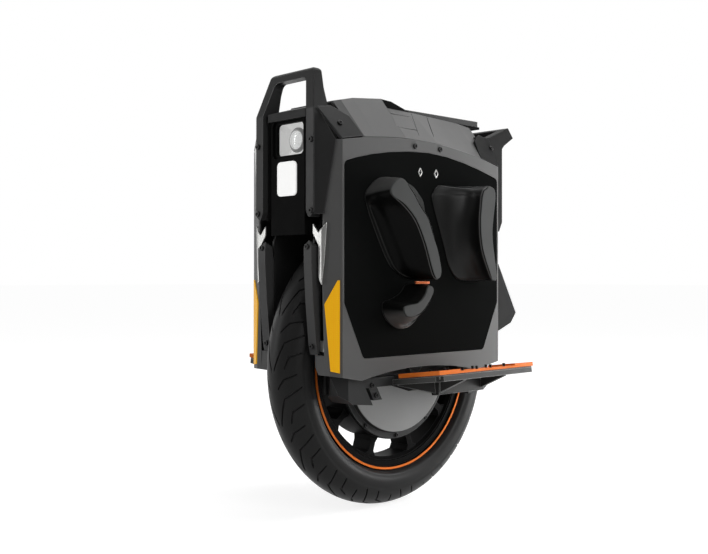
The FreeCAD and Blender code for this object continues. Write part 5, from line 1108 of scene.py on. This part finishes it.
@dataclass
class SocketScrews(Piece):
    """Rounded screw heads with a hexagon socket, drawn as one piece from a place and a direction for each. The shares
    of the radius and the height give a head's rings, from its seat to its rim and then down the socket."""

    fitting: Fitting
    radius: float
    height: float
    places: Sequence[Place]
    count: int = 24
    rim: Outline = ((1.0, 0.0), (1.0, 0.72), (0.94, 0.92), (0.84, 1.0), (0.62, 1.0))
    socket: Outline = ((0.55, 0.97), (0.52, 0.3))

    def draw(self, sketch: Sketch) -> None:
        """Draw all the heads."""
        for place, along in self.places:
            mark = len(sketch.points)
            sketch.loft([circle(self.radius * r, self.height * z, self.count) for r, z in self.rim]
                        + [self._hexagon(self.radius * r, self.height * z) for r, z in self.socket])
            turn = Vector((0, 0, 1)).rotation_difference(Vector(along)).to_matrix().to_4x4()
            sketch.move(mark, Matrix.Translation(Vector(place)) @ turn)

    def _hexagon(self, radius: float, z: float) -> List[Point]:
        """Level hexagon with as many points as the head's circles."""
        side, half_side = math.pi / 3, math.pi / 6
        out: List[Point] = []
        for turn in turns(self.count):
            reach = radius * math.cos(half_side) / math.cos((turn % side) - half_side)
            out.append((reach * math.cos(turn), reach * math.sin(turn), z))
        return out


def mirrored_places(places: Sequence[Place]) -> List[Place]:
    """The places on the left and the same on the right."""
    return list(places) + [((x, -y, z), (a, -b, c)) for (x, y, z), (a, b, c) in places]


def body_screws() -> SocketScrews:
    """Screw heads of the shells, handle legs, guards and feet."""
    forward, outward = (1.0, 0.0, 0.0), (0.0, 1.0, 0.0)
    left = [((32.2, 101.0, 555.0), outward), ((-24.1, 101.0, 555.0), outward), ((203.5, 60.5, 553.4), forward),
            ((203.5, 60.5, 453.0), forward), ((203.0, 51.6, 401.9), forward), ((194.6, 51.6, 259.6), forward),
            ((170.5, 85.2, 576.9), (0.099, 0.809, 0.58)), ((-177.2, 78.0, 572.7), (-0.11, 0.823, 0.557)),
            ((103.3, 90.0, 185.9), outward), ((112.0, 90.0, 201.3), outward), ((-97.3, 90.0, 185.9), outward),
            ((-106.0, 90.0, 201.3), outward)]
    fitting = Fitting("socket_screws", Body.CHASSIS, "stud_black", (SCREW,), "body_screws")
    return SocketScrews(fitting, radius=4.2, height=2.2, places=mirrored_places(left))


def motor_screws() -> SocketScrews:
    """Screw heads round both motor covers."""
    count, reach, seat_y, axle_z = 10, 114.2, 30.5, 224.0
    left = [((reach * math.sin(turn), seat_y, axle_z + reach * math.cos(turn)), (0.0, 1.0, 0.0))
            for turn in turns(count)]
    fitting = Fitting("motor_screws", Body.WHEEL, "stud_black", (SCREW,), "motor_cover_screws")
    return SocketScrews(fitting, radius=3.4, height=2.4, places=mirrored_places(left))


@dataclass
class PedalStuds(Piece):
    """Grip studs of one pedal: a collar and a waisted pin each, as radius and height."""

    side: Side
    body: Body
    hinge_y: float = 120.0
    hinge_z: float = 203.0
    tilt_deg: float = 7.3
    deck_top: float = 9.2
    rear: float = -109.25
    front: float = 103.25
    inner: float = 17.0
    outer: float = 95.25
    border: float = 11.0
    per_row: int = 5
    row_shares: Tuple[float, ...] = (0.28, 0.72)
    profile: Outline = ((3.6, 0.0), (3.6, 1.4), (3.2, 2.0), (2.0, 2.3), (1.9, 5.4), (2.2, 6.6), (2.2, 7.8),
                                 (1.5, 8.2))
    count: int = 16

    def __post_init__(self) -> None:
        """Name the studs after their side."""
        word = self.side.name.lower()
        self.fitting = Fitting(f"grip_studs_{word}", self.body, "stud_black", (SCREW,), f"pedal_studs_{word}")

    def draw(self, sketch: Sketch) -> None:
        """Draw the studs on a flat pedal and tilt them with it."""
        for x, out in self._places():
            mark = len(sketch.points)
            sketch.loft([circle(radius, z, self.count) for radius, z in self.profile])
            sketch.move(mark, Matrix.Translation((x, out, self.deck_top)))
        tilt = Matrix.Rotation(math.radians(self.tilt_deg), 4, "X")
        sketch.move(0, Matrix.Translation((0, self.hinge_y, self.hinge_z)) @ tilt)
        if self.side is Side.RIGHT:
            sketch.move(0, Matrix.Scale(-1, 4, (0, 1, 0)))

    def _places(self) -> List[Flat]:
        """Places of the studs on the flat pedal."""
        pitch = (self.front - self.rear - 2 * self.border) / (self.per_row + 1)
        return [(self.rear + self.border + (i + 1) * pitch, self.inner + share * (self.outer - self.inner))
                for share in self.row_shares for i in range(self.per_row)]


@dataclass
class InsertHeads(Piece):
    """Bright diamond rims of the threaded inserts, each round a shallow seat painted black as the shade of the threaded
    hole.
    """

    fitting = Fitting("insert_heads", Body.CHASSIS, "silver", (SILVER, BLACK), "pad_inserts")
    places: Outline = ((21.8, 516.6), (-13.8, 516.6))
    half_width: float = 4.9
    half_height: float = 7.4
    face_y: float = 101.6
    proud: float = 1.1
    rings: Outline = ((1.0, 0.0), (1.0, 0.8), (0.93, 1.0), (0.64, 1.0), (0.6, 0.8), (0.6, 0.15))
    # coat 1 paints the inner seat black, the shade of the threaded hole
    coats: Tuple[int, ...] = (0, 0, 0, 0, 1, 1)
    soft: float = 0.12

    def draw(self, sketch: Sketch) -> None:
        """Draw the four heads."""
        for side in Side:
            for x, z in self.places:
                rings = [self._ring(x, z, share, self.face_y + rise * self.proud, side) for share, rise in self.rings]
                sketch.loft(rings, coats=self.coats)

    def _ring(self, x: float, z: float, share: float, y: float, side: Side) -> List[Point]:
        """Diamond with softened corners at a height over the panel."""
        wide, high = self.half_width * share, self.half_height * share
        corners = ((1, 0), (0, 1), (-1, 0), (0, -1))
        out: List[Point] = []
        for i, (a, b) in enumerate(corners):
            for c, d in (corners[i - 1], corners[(i + 1) % len(corners)]):
                out.append((x + wide * (a + self.soft * (c - a)), side.value * y, z + high * (b + self.soft * (d - b))))
        return out


@dataclass
class LinkBars(Piece):
    """Orange link between the front and the lower pad of each side, bevelled all round."""

    fitting = Fitting("link_bars", Body.CHASSIS, "orange_paint", (LINK,), "pad_links")
    plan: Outline = ((39.0, 136.6), (64.5, 136.6), (67.5, 135.6), (66.8, 132.5), (52.0, 118.2), (39.0, 118.2))
    bottom: float = 348.4
    top: float = 352.6
    bevel: float = 0.7

    def draw(self, sketch: Sketch) -> None:
        """Draw both links."""
        loop = [Vector(p) for p in self.plan]
        levels = ((self.bevel, self.bottom), (0.0, self.bottom + self.bevel), (0.0, self.top - self.bevel),
                  (self.bevel, self.top))
        for side in Side:
            rings = []
            for inset, z in levels:
                spots = [loop[i] + inward_normal(loop, i) * inset for i in range(len(loop))]
                rings.append([(p.x, side.value * p.y, z) for p in spots])
            sketch.loft(rings)


@dataclass
class LampRing(Piece):
    """Grey collar round the headlight lens, widened as painted shade of the lamp's recess and glowing faintly as
    painted light.
    """

    fitting = Fitting("lamp_collar", Body.CHASSIS, "lamp_white", (LAMP_RING,))
    centre_z: float = 560.5
    back_x: float = 176.3
    # the outer rings of the profile widen the collar to paint the shade of the recess round the lens
    profile: Outline = ((13.7, 0.0), (13.7, 3.4), (14.2, 4.0), (15.4, 4.0), (17.0, 2.0), (18.6, 1.2),
                                 (18.8, 0.0))
    count: int = 64

    def draw(self, sketch: Sketch) -> None:
        """Draw the collar by turning its profile."""
        rings = []
        for turn in turns(self.count):
            y, z = math.cos(turn), math.sin(turn)
            rings.append([(self.back_x + x, r * y, self.centre_z + r * z) for r, x in self.profile])
        sketch.loft(rings, closed=True)


@dataclass
class CoverSeams(Piece):
    """Fine dark joint lines across the sloping sides of the top cover."""

    fitting = Fitting("cover_seams", Body.CHASSIS, "body_black", (BLACK,))
    ends: Tuple[Place, ...] = (((-15.9, 47.7, 616.4), (11.1, 89.6, 574.5)),
                                             ((-52.3, 47.5, 614.9), (-26.1, 86.4, 576.3)))
    upward: Point = (0.0, 0.71, 0.70)
    half_width: float = 0.35
    proud: float = 0.1
    sunk: float = 0.5

    def draw(self, sketch: Sketch) -> None:
        """Draw the lines of both sides."""
        upward = Vector(self.upward)
        for side in Side:
            for start, end in self.ends:
                mark = len(sketch.points)
                across = (Vector(end) - Vector(start)).cross(upward).normalized() * self.half_width
                rings = []
                for spot in (Vector(start), Vector(end)):
                    top, low = spot + upward * self.proud, spot - upward * self.sunk
                    rings.append([tuple(p) for p in (low - across, spot - across, top, spot + across, low + across)])
                sketch.loft(rings)
                sketch.move(mark, Matrix.Scale(side.value, 4, (0, 1, 0)))


def main() -> None:
    """Build the studio, dress the frame and add the detailed pieces."""
    logging.basicConfig(level=logging.INFO)
    palette = Palette()
    Studio().build()
    dress_frame(palette)
    pieces: List[Piece] = [Tyre()]
    pieces += [LegPad(form, side) for form in PAD_FORMS for side in Side]
    pieces += [body_screws(), motor_screws(), InsertHeads(), LinkBars(), LampRing(), CoverSeams(),
               PedalStuds(Side.LEFT, Body.PEDAL_LEFT), PedalStuds(Side.RIGHT, Body.PEDAL_RIGHT)]
    for piece in pieces:
        log.info("built %s", piece.build(palette).name)


if __name__ == "__main__":
    main()
